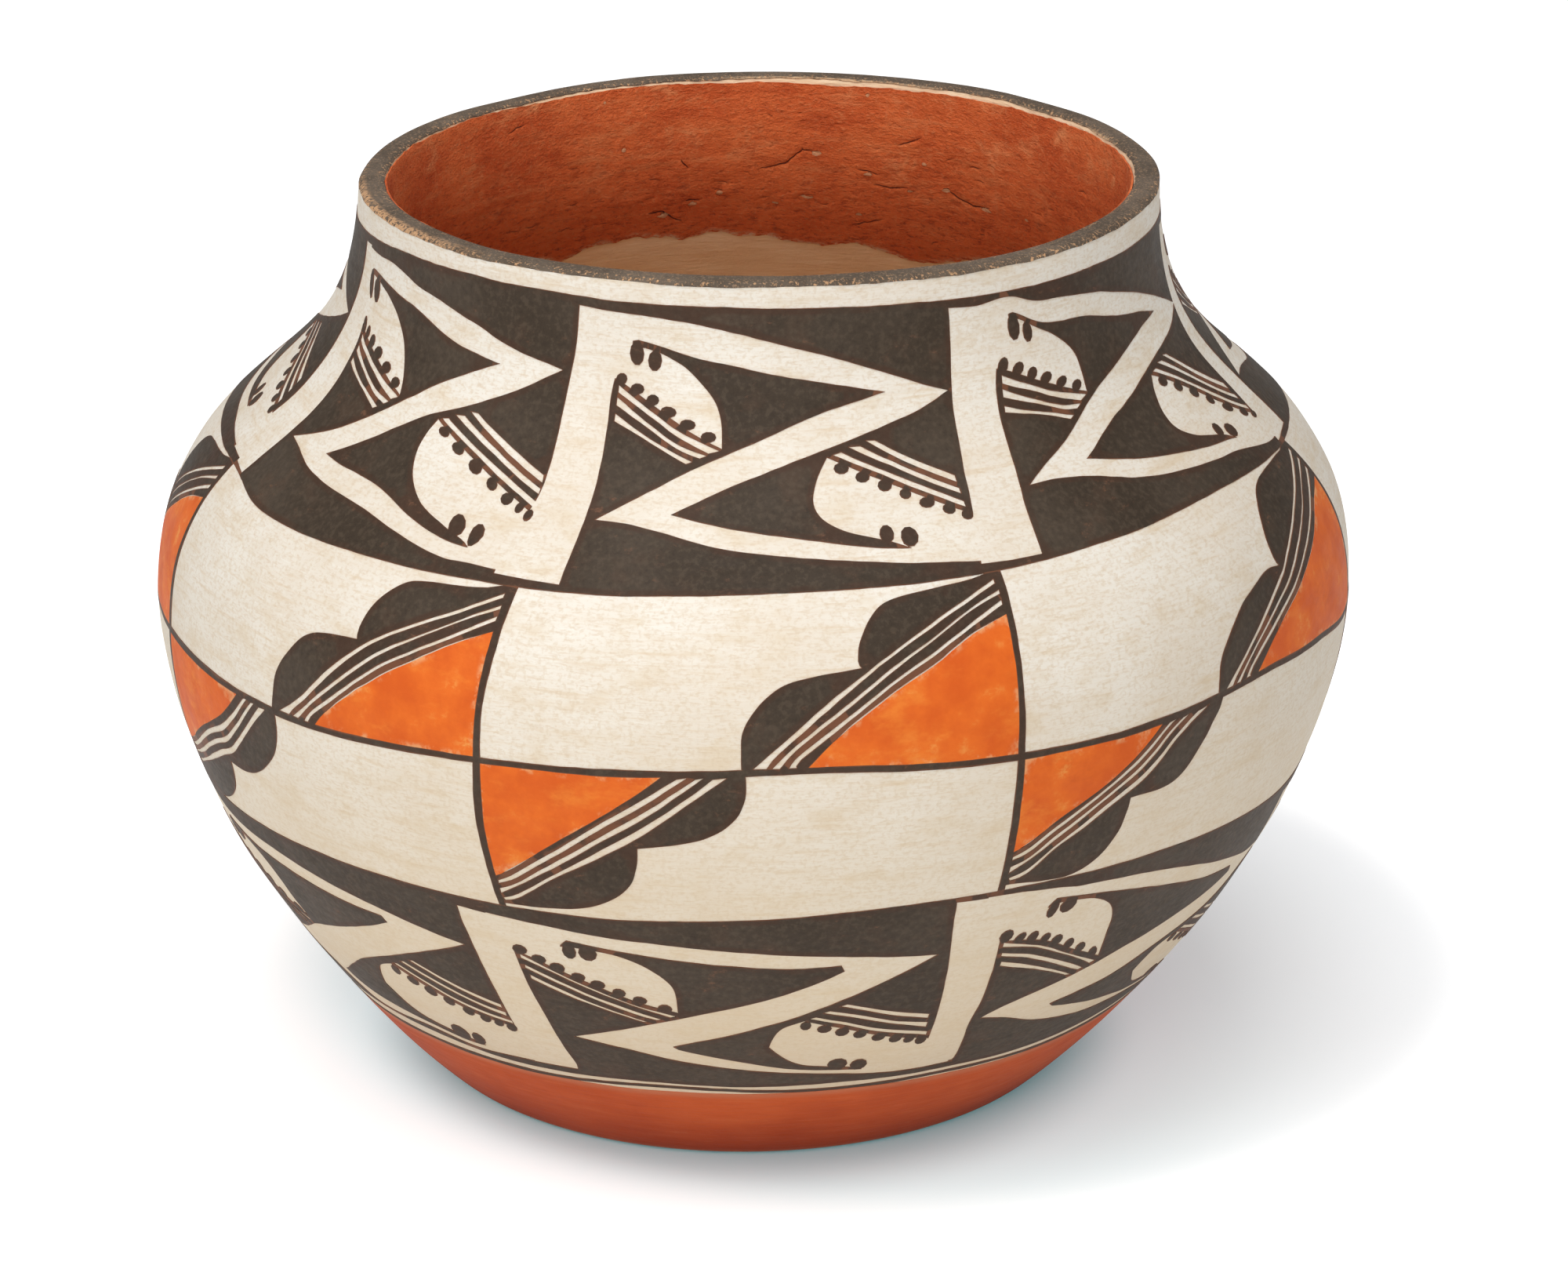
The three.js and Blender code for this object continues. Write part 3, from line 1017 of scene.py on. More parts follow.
panel_foot = level([
    (-60, 94), (-36, 94.8), (-18, 94.4), (0, 95.8), (15, 97.5), (36, 97.2), (54, 95.4), (66, 93.4),
    (110, 94.5), (160, 96), (210, 94.5), (260, 95.5),
])
belly_line = level([
    (-72, 127.1), (-48, 126.5), (-30, 128.2), (-12, 129.2), (6, 130.4), (18, 129.1), (36, 129), (54, 130.3),
    (66, 128.9), (78, 126.2), (130, 127.5), (180, 129), (235, 127),
])
PANEL_DIVIDERS = [
    (-72.3, -73, -74.3), (-23.8, -25.1, -23.9), (24.2, 24, 23.5), (77.3, 80, 80), (129, 130, 129),
    (181, 180.4, 180.5), (234.5, 233.6, 234),
]
UPPER_PANEL_STRAYS = {
    0: [
        (-49.9, 126.4, -49.4, 126.6), (-44.4, 126.8, -43.2, 126.9), (-39.4, 147, -39.3, 145.7),
        (-49.9, 133.8, -49.1, 133.4), (-45.4, 144.6, -44.6, 145.3), (-39.6, 149.8, -38.9, 152.1),
        (-36.7, 159.6, -35.3, 160.6), (-46.1, 127, -44.8, 127), (-40.7, 135.4, -40.7, 132.5),
        (-36.7, 142.2, -36.7, 139.4), (-32.7, 147.3, -32.7, 145.3), (-28.6, 152.4, -28.6, 150.5),
        (-40, 127.2, -40, 127.2), (-34.5, 127.9, -34.5, 127.9),
    ],
    2: [
        (51.2, 130.2, 46.8, 129.9), (57.8, 130, 52.9, 130.2), (62, 151.8, 59, 149),
        (51, 140.9, 47.4, 138.7), (55.4, 149.8, 53.5, 147.9), (61.5, 156.5, 59.1, 156.6),
        (66.1, 166.3, 66.1, 167.3), (61.1, 148, 59.3, 148), (61.1, 141.6, 57.8, 141.6),
        (71.2, 157.5, 71.2, 157.5),
    ],
}
LOWER_PANEL_STRAYS = {
    0: [
        (-49.8, 126.4, -49.4, 126.6), (-49.8, 123.9, -48.7, 123.6), (-50.3, 117.7, -49.7, 116.4),
        (-54, 111.9, -54, 107.8), (-59.4, 110.1, -58.7, 107.8), (-59.9, 106.1, -59.1, 103.5),
        (-64.3, 97.1, -64.1, 94.6), (-54.8, 125, -54, 125.1), (-56.6, 126.2, -55.2, 126.3),
        (-66.9, 106.9, -66.9, 104.2), (-62.6, 112.9, -62.6, 109.7), (-58.5, 118.4, -58.5, 113.8),
    ],
    2: [
        (51.2, 130.2, 46.8, 129.9), (51.5, 122.1, 46, 124.5), (46, 115.3, 41.3, 113.9),
        (40.7, 113.7, 36.3, 113.6), (40.1, 107.9, 35.9, 108.4), (35.7, 101.6, 32.6, 99.9),
        (26.3, 98.6, 26.3, 98.6), (45.2, 128.8, 40.3, 128.4), (49.3, 129.3, 45.2, 128.9),
        (24.1, 103.2, 24.1, 105.5), (24.1, 99.4, 24.1, 99.9), (31, 111.3, 28.1, 111.3),
        (31, 105.6, 28.5, 105.6), (43.4, 129.4, 39.5, 129.2),
    ],
}
PANEL_BREADTH = 2.2
HALF_WAY = 0.5
panels = Zone(panel_foot, shoulder_line, PANEL_DIVIDERS, PANEL_BREADTH)
upper_panels = Zone(
    belly_line, shoulder_line, PANEL_DIVIDERS, PANEL_BREADTH, start=HALF_WAY, strays=UPPER_PANEL_STRAYS
)
lower_panels = Zone(
    panel_foot, belly_line, PANEL_DIVIDERS, PANEL_BREADTH, end=HALF_WAY, strays=LOWER_PANEL_STRAYS
)
PANEL_ORANGE = [
    [[(4, 130.4), (8, 138.4), (12, 144.6), (16, 149.4), (20, 154.4)], [(24.2, 157.8)], [(24, 129)]],
    [[(-25.1, 128.4), (-25, 115)], [(-24, 102.2), (-18, 112), (-10, 125.3)], [(-7.6, 129.6)]],
]
PANEL_SASHES = [
    [[(-1.2, 129.8), (-1.3, 134.1), (-1.2, 138.7), (0, 143.2), (2, 147.1), (5, 149)],
     [(9.3, 150.25), (9, 151.6), (9.3, 155.3), (10.4, 159.7), (12, 162.7), (15, 164.3)], [(21.2, 165.9)],
     [(24.3, 167.5)], [(24, 157.6), (20, 154.7), (16, 149.7), (12, 144.9), (8, 138.7)], [(4.2, 130)]],
    [[(-0.85, 130.2), (-0.8, 126), (-1.1, 122.8), (-1.9, 119.7), (-4, 116.1), (-7, 114.1)],
     [(-10.3, 112.9), (-10.4, 109.1), (-11, 104.5), (-12.9, 99.9), (-16.1, 96.6), (-20.1, 95.4)],
     [(-23.4, 95.3)], [(-24.3, 95)],
     [(-24.2, 102.3), (-22, 105.1), (-18, 112.4), (-14, 118.9), (-10, 125.5)], [(-7.8, 129.6)]],
]
PANEL_STRIPES = [
    bar([(-0.35, 130.7), (2, 135.5), (6, 143.5), (10, 149.8), (14, 155.1), (18, 159.8), (23.5, 165.4)],
        [(0.95, 130.8), (2, 133.7), (6, 141.8), (10, 148.7), (14, 154.1), (18, 158.7), (23.5, 164.2)]),
    bar([(1.3, 130.8), (4, 136.7), (8, 143.6), (12, 149.8), (16, 154.7), (20, 159.5), (23.7, 163)],
        [(2.1, 130.8), (4, 135.4), (8, 142.4), (12, 148.7), (16, 153.9), (20, 158.7), (23.7, 161.9)]),
    bar([(2.8, 130.7), (4, 134.1), (8, 141), (12, 147.1), (16, 152), (20, 156.8), (23.7, 160.8)],
        [(3.6, 130.7), (4, 132.6), (8, 139.7), (12, 146.1), (16, 151), (20, 155.7), (23.7, 159.5)]),
    bar([(-23.9, 101.4), (-22, 103.9), (-18, 110.7), (-14, 117.6), (-10, 123.7), (-6.8, 128.7)],
        [(-23.9, 100.3), (-22, 102.4), (-18, 109.1), (-14, 116), (-10, 122), (-5.9, 128.8)]),
    bar([(-23.9, 99.2), (-22, 101.4), (-18, 108), (-14, 114.7), (-10, 120.8), (-5.2, 128.8)],
        [(-23.9, 97.5), (-22, 100.3), (-18, 106.4), (-14, 113.2), (-10, 119.1), (-4.5, 128.8)]),
    bar([(-23.7, 96.8), (-22, 98.6), (-18, 105.1), (-14, 111.6), (-10, 117.6), (-6, 124.5), (-3.7, 128.9)],
        [(-23.5, 95.9), (-22, 97.2), (-18, 103.9), (-14, 109.7), (-10, 115.5), (-6, 122.8), (-2.5, 129)]),
]


BELLY_LINE_RUN = 128
BELLY_LINE_WIDTH = 1.4
DIVIDER_TURN = 0.72


def line_across(zone, k, width):
    """The outline of a divider, drawn down the panels with the brush, so many degrees of turn wide."""
    left, right = [], []
    for i in range(46):
        share = 1.02 - 1.04 * i / 45
        turn = zone.divider(k, share)
        along = zone.rise(turn, share)
        half = width / 2 * (1 + 0.25 * waver(turn, along, 16, 3))
        left.append((turn - half, along))
        right.append((turn + half, along))
    return left + right[::-1]


def line_round(zone, k, line, width):
    """The outline of a line drawn round the belly past repeat k."""
    upper, lower = [], []
    start, end = zone.divider(k, 0.5) - 2, zone.divider(k + 1, 0.5) + 2
    for i in range(71):
        turn = start + (end - start) * i / 70
        half = width / 2 * (1 + 0.22 * waver(turn, BELLY_LINE_RUN, 14, 4))
        upper.append((turn, line(turn) + half))
        lower.append((turn, line(turn) - half))
    return lower + upper[::-1]


for k in range(REPEATS):
    shapes = [(BARE, panels.ground(k))]
    for paint, outlines in ((ORANGE, PANEL_ORANGE), (BLACK, PANEL_SASHES), (BARE, PANEL_STRIPES)):
        half = len(outlines) // 2
        shapes += [(paint, drawn(upper_panels, k, outline)) for outline in outlines[:half]]
        shapes += [(paint, drawn(lower_panels, k, outline)) for outline in outlines[half:]]
    shapes.append((BLACK, line_round(panels, k, belly_line, BELLY_LINE_WIDTH)))
    shapes += [(BLACK, line_across(panels, n, DIVIDER_TURN)) for n in (k, k + 1)]
    names = {BLACK: f"panel_black_paint_{k + 1}", ORANGE: f"panel_orange_paint_{k + 1}"}
    dress_paint(lay_paint(names, shapes, panels, k))

# The lower band: the same figures as the upper one, on the underside of the belly, closed below by a white
# line and the thin black line.
band_foot = level([
    (-48, 40), (-30, 38.2), (-12, 39.1), (0, 38.5), (24, 38.7), (48, 38), (100, 39), (150, 38.3),
    (200, 39.2), (250, 38.6),
])
LOWER_STRAYS = {
    0: [
        (-39.7, 78.5, -39.9, 80), (-46, 63.3, -46, 63.6), (-56, 65, -56, 65.8), (-41.5, 46.1, -42.2, 44.1),
        (-38, 46.1, -37.3, 43.9), (-35.3, 45, -35, 43.5), (-42.9, 61.8, -42.6, 62.5),
        (-28.2, 51.6, -28.1, 53.7), (-28.6, 59.2, -28.3, 60), (-40.1, 43.6, -40.1, 40.7),
        (-48, 46.9, -48, 41.6), (-56, 51, -56, 43.6), (-30, 79.1, -29.9, 79.3), (-46.5, 54.7, -46.9, 54.3),
        (-32, 41.3, -32, 41), (-56, 84.7, -56, 85.3), (-56.3, 73.8, -58.5, 73.3),
    ],
    2: [
        (24.5, 83.6, 25.2, 82.4), (26.4, 40.7, 25.7, 41), (30.3, 91.4, 30.3, 93.7), (40.7, 86.7, 40.7, 89),
        (51, 83.2, 51, 83.7), (58.2, 78.4, 61.5, 75.3), (28.2, 55, 26.4, 56.6), (40.1, 53.8, 35.8, 55.2),
        (31.5, 86, 30.8, 89.7), (41.2, 75, 38.8, 78.5), (41.1, 65.9, 40.1, 66.4), (25.2, 74.8, 26, 74.6),
        (37.7, 62.8, 36.9, 64.3), (47.5, 65.8, 47.5, 65.3), (44.1, 48.6, 44.1, 47.6),
        (50.6, 55.1, 50.4, 54.6), (40.6, 89.7, 40.6, 91.8), (32.6, 92.1, 32.6, 93.7),
        (24.3, 93.7, 24.3, 96), (19.2, 94.5, 19.1, 96.3), (25.2, 61, 25.5, 61), (25.8, 50.7, 25.6, 50.7),
        (20.1, 54.8, 20.5, 54.8), (19.7, 71.7, 20, 71.7), (19.3, 83, 19.5, 83),
    ],
}
lower_band = Zone(
    band_foot,
    panel_foot,
    [(-75, -74.5, -74), (-26.3, -25.3, -24.4), (22.1, 22.5, 22.9), (71.5, 72, 72.5), (124.5, 124.8, 125),
     (178, 178.3, 178.5), (231.5, 231.8, 232)],
    breadth=1.95,
    strays=LOWER_STRAYS,
)
LOWER_FIGURE = [
    [[(-29.05, 91.8)], [(-24, 91)], [(-24, 82.4), (-23.4, 69.9), (-22.6, 59.9), (-21.9, 49.9), (-21.2, 43)],
     [(-21.4, 40.8)], [(-27.3, 40.4)], [(-27.4, 53.7), (-28.1, 69.9), (-28.7, 80.8), (-29, 87)]],
    [[(-26, 91.5), (-16, 89.6), (-8, 88.3), (0, 86.5), (8, 84.7)],
     [(18.3, 82), (15, 77.8), (10, 71.6), (4, 65.1), (-2, 59.5), (-6, 56.6)], [(-8.6, 54.3)],
     [(-8, 53.3), (0, 48.5), (4, 46.2), (8, 44.8)], [(12.8, 43.7)], [(22, 43.4)],
     [(25.5, 40.75), (16, 41.2), (8, 43.2), (0, 45.5), (-8, 48.7), (-13, 51.4)],
     [(-20, 54.7), (-14, 59.5), (-8, 64.6), (0, 70.7), (6, 76.4)], [(9, 80.1)],
     [(8.6, 81.8), (2, 81.8), (-8, 84.2), (-14, 85.8)], [(-18, 86.9)], [(-18.7, 85.3)],
     [(-18.9, 84.2)], [(-24.5, 83.5)]],
]
LOWER_LOBES = [
    [[(-24.5, 84)], [(-17.15, 85.1)], [(-15.1, 84.8), (-13, 84.1), (-10.7, 81.8), (-8.8, 78.4), (-7.7, 74.5)],
     [(-7.6, 67), (-12, 70), (-16, 74.1), (-20, 78)], [(-23.6, 81.4)], [(-24.5, 81.6)]],
    [[(5.5, 64.3), (3.4, 62), (2.5, 58.5)], [(2.1, 54.9), (3.9, 50.3), (6, 47.4), (8.9, 46)], [(11.6, 45.1)],
     [(14, 43.2)], [(22.5, 42.8)], [(21.5, 52.6)], [(20.4, 52.9), (16, 55.5), (12, 58.9), (8, 62.2)]],
    bar([(-23.4, 80.8), (-20, 77), (-16, 72.8), (-12, 68.8), (-7.8, 66)],
        [(-23.4, 79.2), (-20, 76), (-16, 71.8), (-12, 68), (-8.5, 65.1)]),
    bar([(-23.2, 77.6), (-20, 74.4), (-16, 70.3), (-12, 66.6), (-9.4, 64.5)],
        [(-23.2, 76.2), (-20, 73), (-16, 68.9), (-12, 65.1), (-10, 63.8)]),
    bar([(-22.9, 74.6), (-20, 71.6), (-16, 67.6), (-10.8, 63.1)],
        [(-22.9, 73), (-20, 70), (-16, 66.5), (-11.5, 62.8)]),
    bar([(6.7, 65.6), (10, 63), (14, 59.7), (20, 55.8)], [(6, 64.8), (10, 61.6), (14, 58.2), (20, 54.1)]),
    bar([(8.1, 67.5), (12, 64.7), (16, 61.6), (19.6, 59.3)],
        [(7.4, 66.6), (12, 63.2), (16, 60.1), (19.6, 57.2)]),
    bar([(9.8, 69.3), (14, 66.2), (19.4, 62.4)], [(9.1, 68.5), (14, 64.6), (19.4, 60.5)]),
]
LOWER_DABS = [
    (-17.9, 83.7, 0.75, 2.1), (-16, 83.8, 0.95, 2.2), (-23.3, 82.05, 0.81, 1.38),
    (-21.45, 79.95, 0.81, 1.25), (-19.6, 78.15, 0.86, 1.5), (-17.5, 76.15, 0.76, 1.25),
    (-15.6, 74.35, 0.81, 1.38), (-13.5, 72.35, 0.7, 1.38), (-11.4, 70.45, 0.76, 1.25),
    (-8.9, 68.15, 0.76, 1.5), (10.2, 46.7, 1.2, 2.3), (12.8, 45.8, 1.05, 2.2), (5.75, 62.5, 0.6, 1.5),
    (7.8, 60.95, 0.81, 1.38), (9.85, 59.45, 0.81, 1.44), (11.95, 58.05, 0.76, 1.38), (14.2, 56.2, 0.8, 1.4),
    (16.3, 54.75, 0.76, 1.44), (18, 53.65, 0.65, 1.25), (19.55, 52.65, 0.7, 1.5),
]
for k in range(REPEATS):
    shapes = band_shapes(lower_band, k, LOWER_FIGURE, LOWER_LOBES, LOWER_DABS)
    dress_paint(lay_paint({BLACK: f"lower_band_paint_{k + 1}"}, shapes, lower_band, k))

# The lip's paint: the same brown-black paint, drawn over the flat top of the lip and a little way down both
# sides. Hands and lids have worn it through to the tan clay in specks and along its edges.
LIP_TOP = WALL_LENGTH - LIP_ROUNDING + lengths_along(outer_lip)[-1]
LIP_END = LIP_TOP + LIP_WALL - 2 * LIP_ROUNDING + lengths_along(inner_lip)[-1]
LIP_ASIDE = 1.7
lip_finish, mm = new_finish("lip_paint")
edge = mm.attribute("edge")
clouds = mm.grain(14, 4, 0.6, 91)
fine = mm.grain(0.8, 2, 0.6, 92)
grit = mm.grain(0.45, 1, 0.5, 95)
from_axis = mm.away_from(LIP_ASIDE, 0)
aside = mm.part("X")
behind = mm.part("Y")
outer = from_axis.between(83.4, 85.2)
inner = 1 - from_axis.between(80, 80.9)
# The lip is made paler in two fixed places: more tan specks along its outer edge at the front left, and a
# cream streak along its inner edge at the back, towards the right.
pale_front_left_edge = outer * (1 - aside.between(-78, -50)) * (1 - behind.between(-20, 5))
pale_right_back_edge = inner * aside.between(-12, 12) * behind.between(10, 40)
pale_edge_patches = (pale_front_left_edge + pale_right_back_edge).clamped()
near_edge = 1 - edge.between(0.4, 2.2)
worn = fine.between(0.56, 0.64) * (near_edge * 0.75 + clouds.between(0.5, 0.7) * 0.35)
worn = worn + pale_edge_patches * fine.between(0.4, 0.5) * clouds.between(0.3, 0.45)
colour = layered(
    tone(86, 73, 60),
    (clouds.between(0.35, 0.65), 106, 92, 78),
    (mm.grain(2.6, 3, 0.6, 94).between(0.5, 0.7) * 0.5, 70, 56, 45),
    (grit.between(0.56, 0.68) * 0.45, 176, 144, 114),
    (worn.clamped() * 0.85, 218, 170, 126),
    (pale_right_back_edge * mm.grain(3, 3, 0.6, 96).between(0.4, 0.5) * 0.7, 240, 206, 166),
)
set_finish(lip_finish, colour, 0.6 + fine * 0.25, fine + grit * 0.5 - worn, 0.2)
OUTER_EDGE = WALL_LENGTH - 0.75
INNER_EDGE = LIP_END - 1.35
lip_coat = lay_coat(
    "lip_paint",
    lambda turn: OUTER_EDGE + 0.35 * waver(turn, 230, 16, 11) + 0.15 * waver(turn, 230, 3, 12),
    lambda turn: INNER_EDGE + 0.35 * waver(turn, 240, 12, 13) + 0.25 * waver(turn, 240, 2.6, 14),
    rows=16,
    columns=720,
    raised=0.32,
    thickness=0.25,
)
lip_coat.data.materials.append(lip_finish)
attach(lip_coat, "root")

# The red slip inside the neck: brushed on as far down as the potter's hand went, over clay that was scraped
# and not polished. It has short cracks with chips broken off them, and ends in a ragged brushed edge.
INNER_BREADTH = 1.5
INNER_SLANT = 0.0025
INNER_TOP = LIP_END - 1.15
INNER_RAISED = 0.2
INNER_THICKNESS = 0.4
INNER_SPACING = 1.25
FULL_BODY_RUN = 6
ROUGHER_RUN = 26
FINE_CRACKS = 110
CRACK_WIDTH = 0.33
CRACK_STEP = 0.45
BESIDE_CRACK = (-1.3, -0.8, -0.4, 0, 0.4, 0.9)
LIFTED_WIDTH = 0.5
LIFTED_AWAY = 0.85
CHIP_PLACES = 40
GOLDEN_ANGLE = 2.4
slip_foot = level([
    (20, 154), (60, 153), (100, 154), (134, 154.5), (147, 155.5), (151.5, 153.5), (158, 152), (163, 155.5),
    (166, 157), (169.5, 155), (175, 156.5), (178, 158.5), (182, 158), (186, 160.5), (191, 158),
    (196.5, 160), (201, 159), (205, 158), (208, 154.2), (212, 156.5), (225, 154), (260, 153), (320, 154.5),
])
slip_gap = level([
    (20, 0.3), (80, 0.3), (110, 0.5), (140, 0.7), (165, 0.9), (185, 0.5), (205, 0.2), (250, 0.1),
    (320, 0.2),
])
CRACKS = [
    ([(225.5, 192), (223, 193), (221, 193.4)], 0.25), ([(212.5, 181), (210, 180.6)], 0.2),
    ([(192.6, 180.4), (191, 178)], 0.35),
    ([(180.5, 177), (175.5, 178.5), (172.5, 182), (169.5, 181.3)], 0.35),
    ([(197, 167), (194.5, 167.2), (193, 165.5), (191, 163.8)], 0.45),
    ([(191.5, 169.9), (188.5, 169.6)], 0.3), ([(187, 172.6), (185, 172.2)], 0.25),
    ([(211.5, 172), (209, 171.6)], 0.2), ([(221.5, 168), (218.5, 167.4)], 0.2),
    ([(198, 176.2), (195, 175.6)], 0.2), ([(204.5, 165.6), (202, 165.4)], 0.2),
    ([(164, 178.2), (160, 177)], 0.3), ([(157, 184), (154.5, 185), (152, 186.6)], 0.3),
    ([(149, 175.8), (146, 173.2), (144, 172.3), (140.5, 172.5)], 0.45),
    ([(174, 170.7), (170.5, 171.4)], 0.2), ([(180, 169.8), (177.5, 170.4)], 0.2),
    ([(161.5, 174.6), (158.5, 174), (155, 174.5)], 0.3), ([(144, 181.6), (141, 181.4)], 0.25),
    ([(166, 163), (163, 164), (160, 165.6)], 0.3), ([(148.5, 182), (146, 183)], 0.2),
]
CHIPS = [
    (170.2, 181.2, 1.5, 0.7), (148.4, 175.2, 1.3, 0.7), (141.5, 171.9, 1.7, 0.4), (194.2, 166.3, 1.9, 0.5),
    (190, 169, 1.3, 0.45), (185.8, 171.8, 0.8, 0.5), (164, 166.5, 0.9, 0.4), (172, 170.6, 1.9, 0.3),
    (161.8, 177, 1.3, 0.3), (133.6, 171.7, 0.6, 0.35), (161.7, 195, 0.6, 0.4), (206, 194.8, 0.4, 0.35),
    (202.4, 183.6, 0.6, 0.5), (152, 180.5, 0.7, 0.3), (155, 173.8, 0.8, 0.3), (177, 168.6, 1, 0.3),
]


def down_inside(turn, height):
    """The flat place in mm, on the unrolled inside of the neck, of a turn and a height."""
    drop = JAR_HEIGHT - LIP_ROUNDING - height
    return Vector((turn * INNER_BREADTH, LIP_END + drop + INNER_SLANT * drop * drop))


random.seed(11)
cracks = [([down_inside(*place) for place in places], depth) for places, depth in CRACKS]
for number in range(FINE_CRACKS):
    start = down_inside(random.uniform(4, 356), 158 + 34 * random.random() ** 1.7)
    end = start + Vector((random.uniform(1.5, 5), random.uniform(-1.2, 1.2)))
    middle = start.lerp(end, random.uniform(0.3, 0.7)) + Vector((0, random.uniform(-0.6, 0.6)))
    cracks.append(([start, middle, end], random.uniform(0.1, 0.24)))
stitches = []
for places, depth in cracks:
    whole = sum((there - here).length for here, there in zip(places, places[1:]))
    gone = 0
    for here, there in zip(places, places[1:]):
        run = there - here
        up = Vector((run.y, -run.x)).normalized() * (-1 if run.x < 0 else 1)
        steps = max(1, round(run.length / CRACK_STEP))
        for n in range(steps + 1):
            share = (gone + run.length * n / steps) / whole
            place = here.lerp(there, n / steps)
            stray = 0.25 * noise.noise(Vector((*place, 3)) / 1.3)
            stitches.append((place + up * stray, up, depth * math.sqrt(max(0, math.sin(math.pi * share)))))
        gone += run.length
near_crack = tree_of([place for place, up, depth in stitches])
added = [place + up * aside for place, up, depth in stitches for aside in BESIDE_CRACK]
chips = [(down_inside(turn, height), wide, tall) for turn, height, wide, tall in CHIPS]
for place, wide, tall in chips:
    for i in range(CHIP_PLACES):
        angle, out = i * GOLDEN_ANGLE, math.sqrt(i / CHIP_PLACES) * 1.2
        added.append(place + Vector((wide * out * math.cos(angle), tall * out * math.sin(angle))))

ragged_edge, upper_edge = [], []
for i in range(721):
    turn = i / 2
    ragged = 0.9 * waver(turn, 150, 7, 21) + 0.8 * waver(turn, 150, 2.2, 22)
    ragged_edge.append(down_inside(turn, slip_foot(turn) + ragged))
for i in range(361):
    start = INNER_TOP + slip_gap(i) + 0.25 * waver(i, 190, 9, 23) + 0.3 * waver(i, 190, 2.4, 24)
    upper_edge.append(Vector((i * INNER_BREADTH, start)))
# Both ends of the unrolled coat get the same places, so that they close to one seam.
seam = [ragged_edge[-1].lerp(upper_edge[-1], n / 30) for n in range(1, 30)]
seam_start = [Vector((0, place.y)) for place in reversed(seam)]
outline = ragged_edge + seam + upper_edge[::-1] + seam_start
bottom_edge = sampled(list(zip(ragged_edge, ragged_edge[1:])), 0.4)
points, pieces = filled([outline], INNER_SPACING, added)
points, triangles = only_used(points, [triangle for triangle, owners in pieces])
places, hollows, flakes, edges = [], [], [], []
for point in points:
    at_end = point.x > 360 * INNER_BREADTH - 0.01
    point = Vector((0 if at_end else point.x, point.y))
    turn, along = point.x / INNER_BREADTH, point.y
    _, nearest, gap = near_crack.find((*point, 0))
    place, up, depth = stitches[nearest]
    aside = (point - place).dot(up) if gap < 2 else 9
    hollow = depth * math.exp(-((aside / CRACK_WIDTH) ** 2)) * math.exp(-(max(gap - 0.9, 0) ** 2))
    lifted = 0.5 * depth * math.exp(-(((aside + LIFTED_AWAY) / LIFTED_WIDTH) ** 2))
    from_chips = [((point.x - chip.x) / wide, (point.y - chip.y) / tall) for chip, wide, tall in chips]
    flake = max(0, max(1 - across**2 - down**2 for across, down in from_chips))
    from_edge = bottom_edge.find((*point, 0))[2]
    body = min(1, max(0, (along - LIP_END) / FULL_BODY_RUN)) * min(1, 0.25 + from_edge / 3)
    low = min(1, max(0, (along - LIP_END) / ROUGHER_RUN))
    spot = Vector((100 * math.sin(math.radians(turn)), 100 * math.cos(math.radians(turn)), along * 1.6))
    lumps = 0.35 * noise.noise(spot / 6) + 0.4 * low * noise.noise(spot / 2.6)
    built_up = 0.3 + lumps * (0.4 + 0.6 * low) + lifted - hollow + 0.1 * min(1, flake * 3)
    places.append(on_skin(turn, along, max(INNER_RAISED + body * built_up, 0.06)))
    hollows.append(hollow)
    flakes.append(flake)
    edges.append(from_edge)
inner_coat = sheet("inner_red_slip_coat", places, triangles, hollow=hollows, flake=flakes, edge=edges)
bpy.context.view_layer.objects.active = inner_coat
bpy.ops.object.mode_set(mode="EDIT")
bpy.ops.mesh.select_all(action="SELECT")
bpy.ops.mesh.remove_doubles(threshold=SEAM_GAP)
bpy.ops.mesh.normals_make_consistent(inside=False)
bpy.ops.object.mode_set(mode="OBJECT")
thicken(inner_coat, INNER_THICKNESS)

inner_finish, mm = new_finish("inner_red_slip")
hollow = mm.attribute("hollow")
streaks = mm.stretched(1, 1, 6).grain(16, 5, 0.65, 41)
clouds = mm.grain(20, 4, 0.6, 42)
patches = mm.stretched(1, 1, 1.3).grain(10, 5, 0.7, 49, 0.6)
grit = mm.stretched(1, 1, 2.2).grain(2.6, 5, 0.72, 43)
fine = mm.stretched(1, 1, 1.5).grain(0.8, 3, 0.6, 48)
low = 1 - mm.part("Z").between(158, 188)
flaked = (mm.attribute("flake") * 1.6 + fine * 1.4 - 0.75).between(0.4, 0.7)
colour = layered(
    tone(214, 94, 43),
    (clouds.between(0.3, 0.7), 240, 120, 62),
    (patches.between(0.52, 0.72) * (0.75 - low * 0.35), 246, 158, 102),
    (patches.between(0.46, 0.26) * 0.45, 182, 64, 22),
    (streaks.between(0.5, 0.7) * 0.5, 240, 146, 90),
    (streaks.between(0.48, 0.25) * 0.5, 192, 72, 26),
    # Painted light: low down inside the neck the slip is made a brighter orange, against the shade that falls
    # deep inside the jar.
    (low * 0.6, 238, 106, 46),
    (grit.between(0.5, 0.32) * (low * 0.35 + 0.3), 142, 46, 14),
    (grit.between(0.54, 0.7) * 0.5, 234, 138, 84),
    (fine.between(0.54, 0.7) * 0.35, 230, 142, 94),
    # Painted shade: the cracks' grooves are darkened, as shadow falls into them.
    (hollow.between(0.06, 0.24) * 0.9, 66, 22, 8),
    (mm.specks(5.2, 0.25, 46) * 0.5, 226, 160, 112),
    (flaked * 0.8, 226, 168, 124),
)
thin = (1 - mm.attribute("edge").between(0.0, 2.4)) * grit.between(0.42, 0.62)
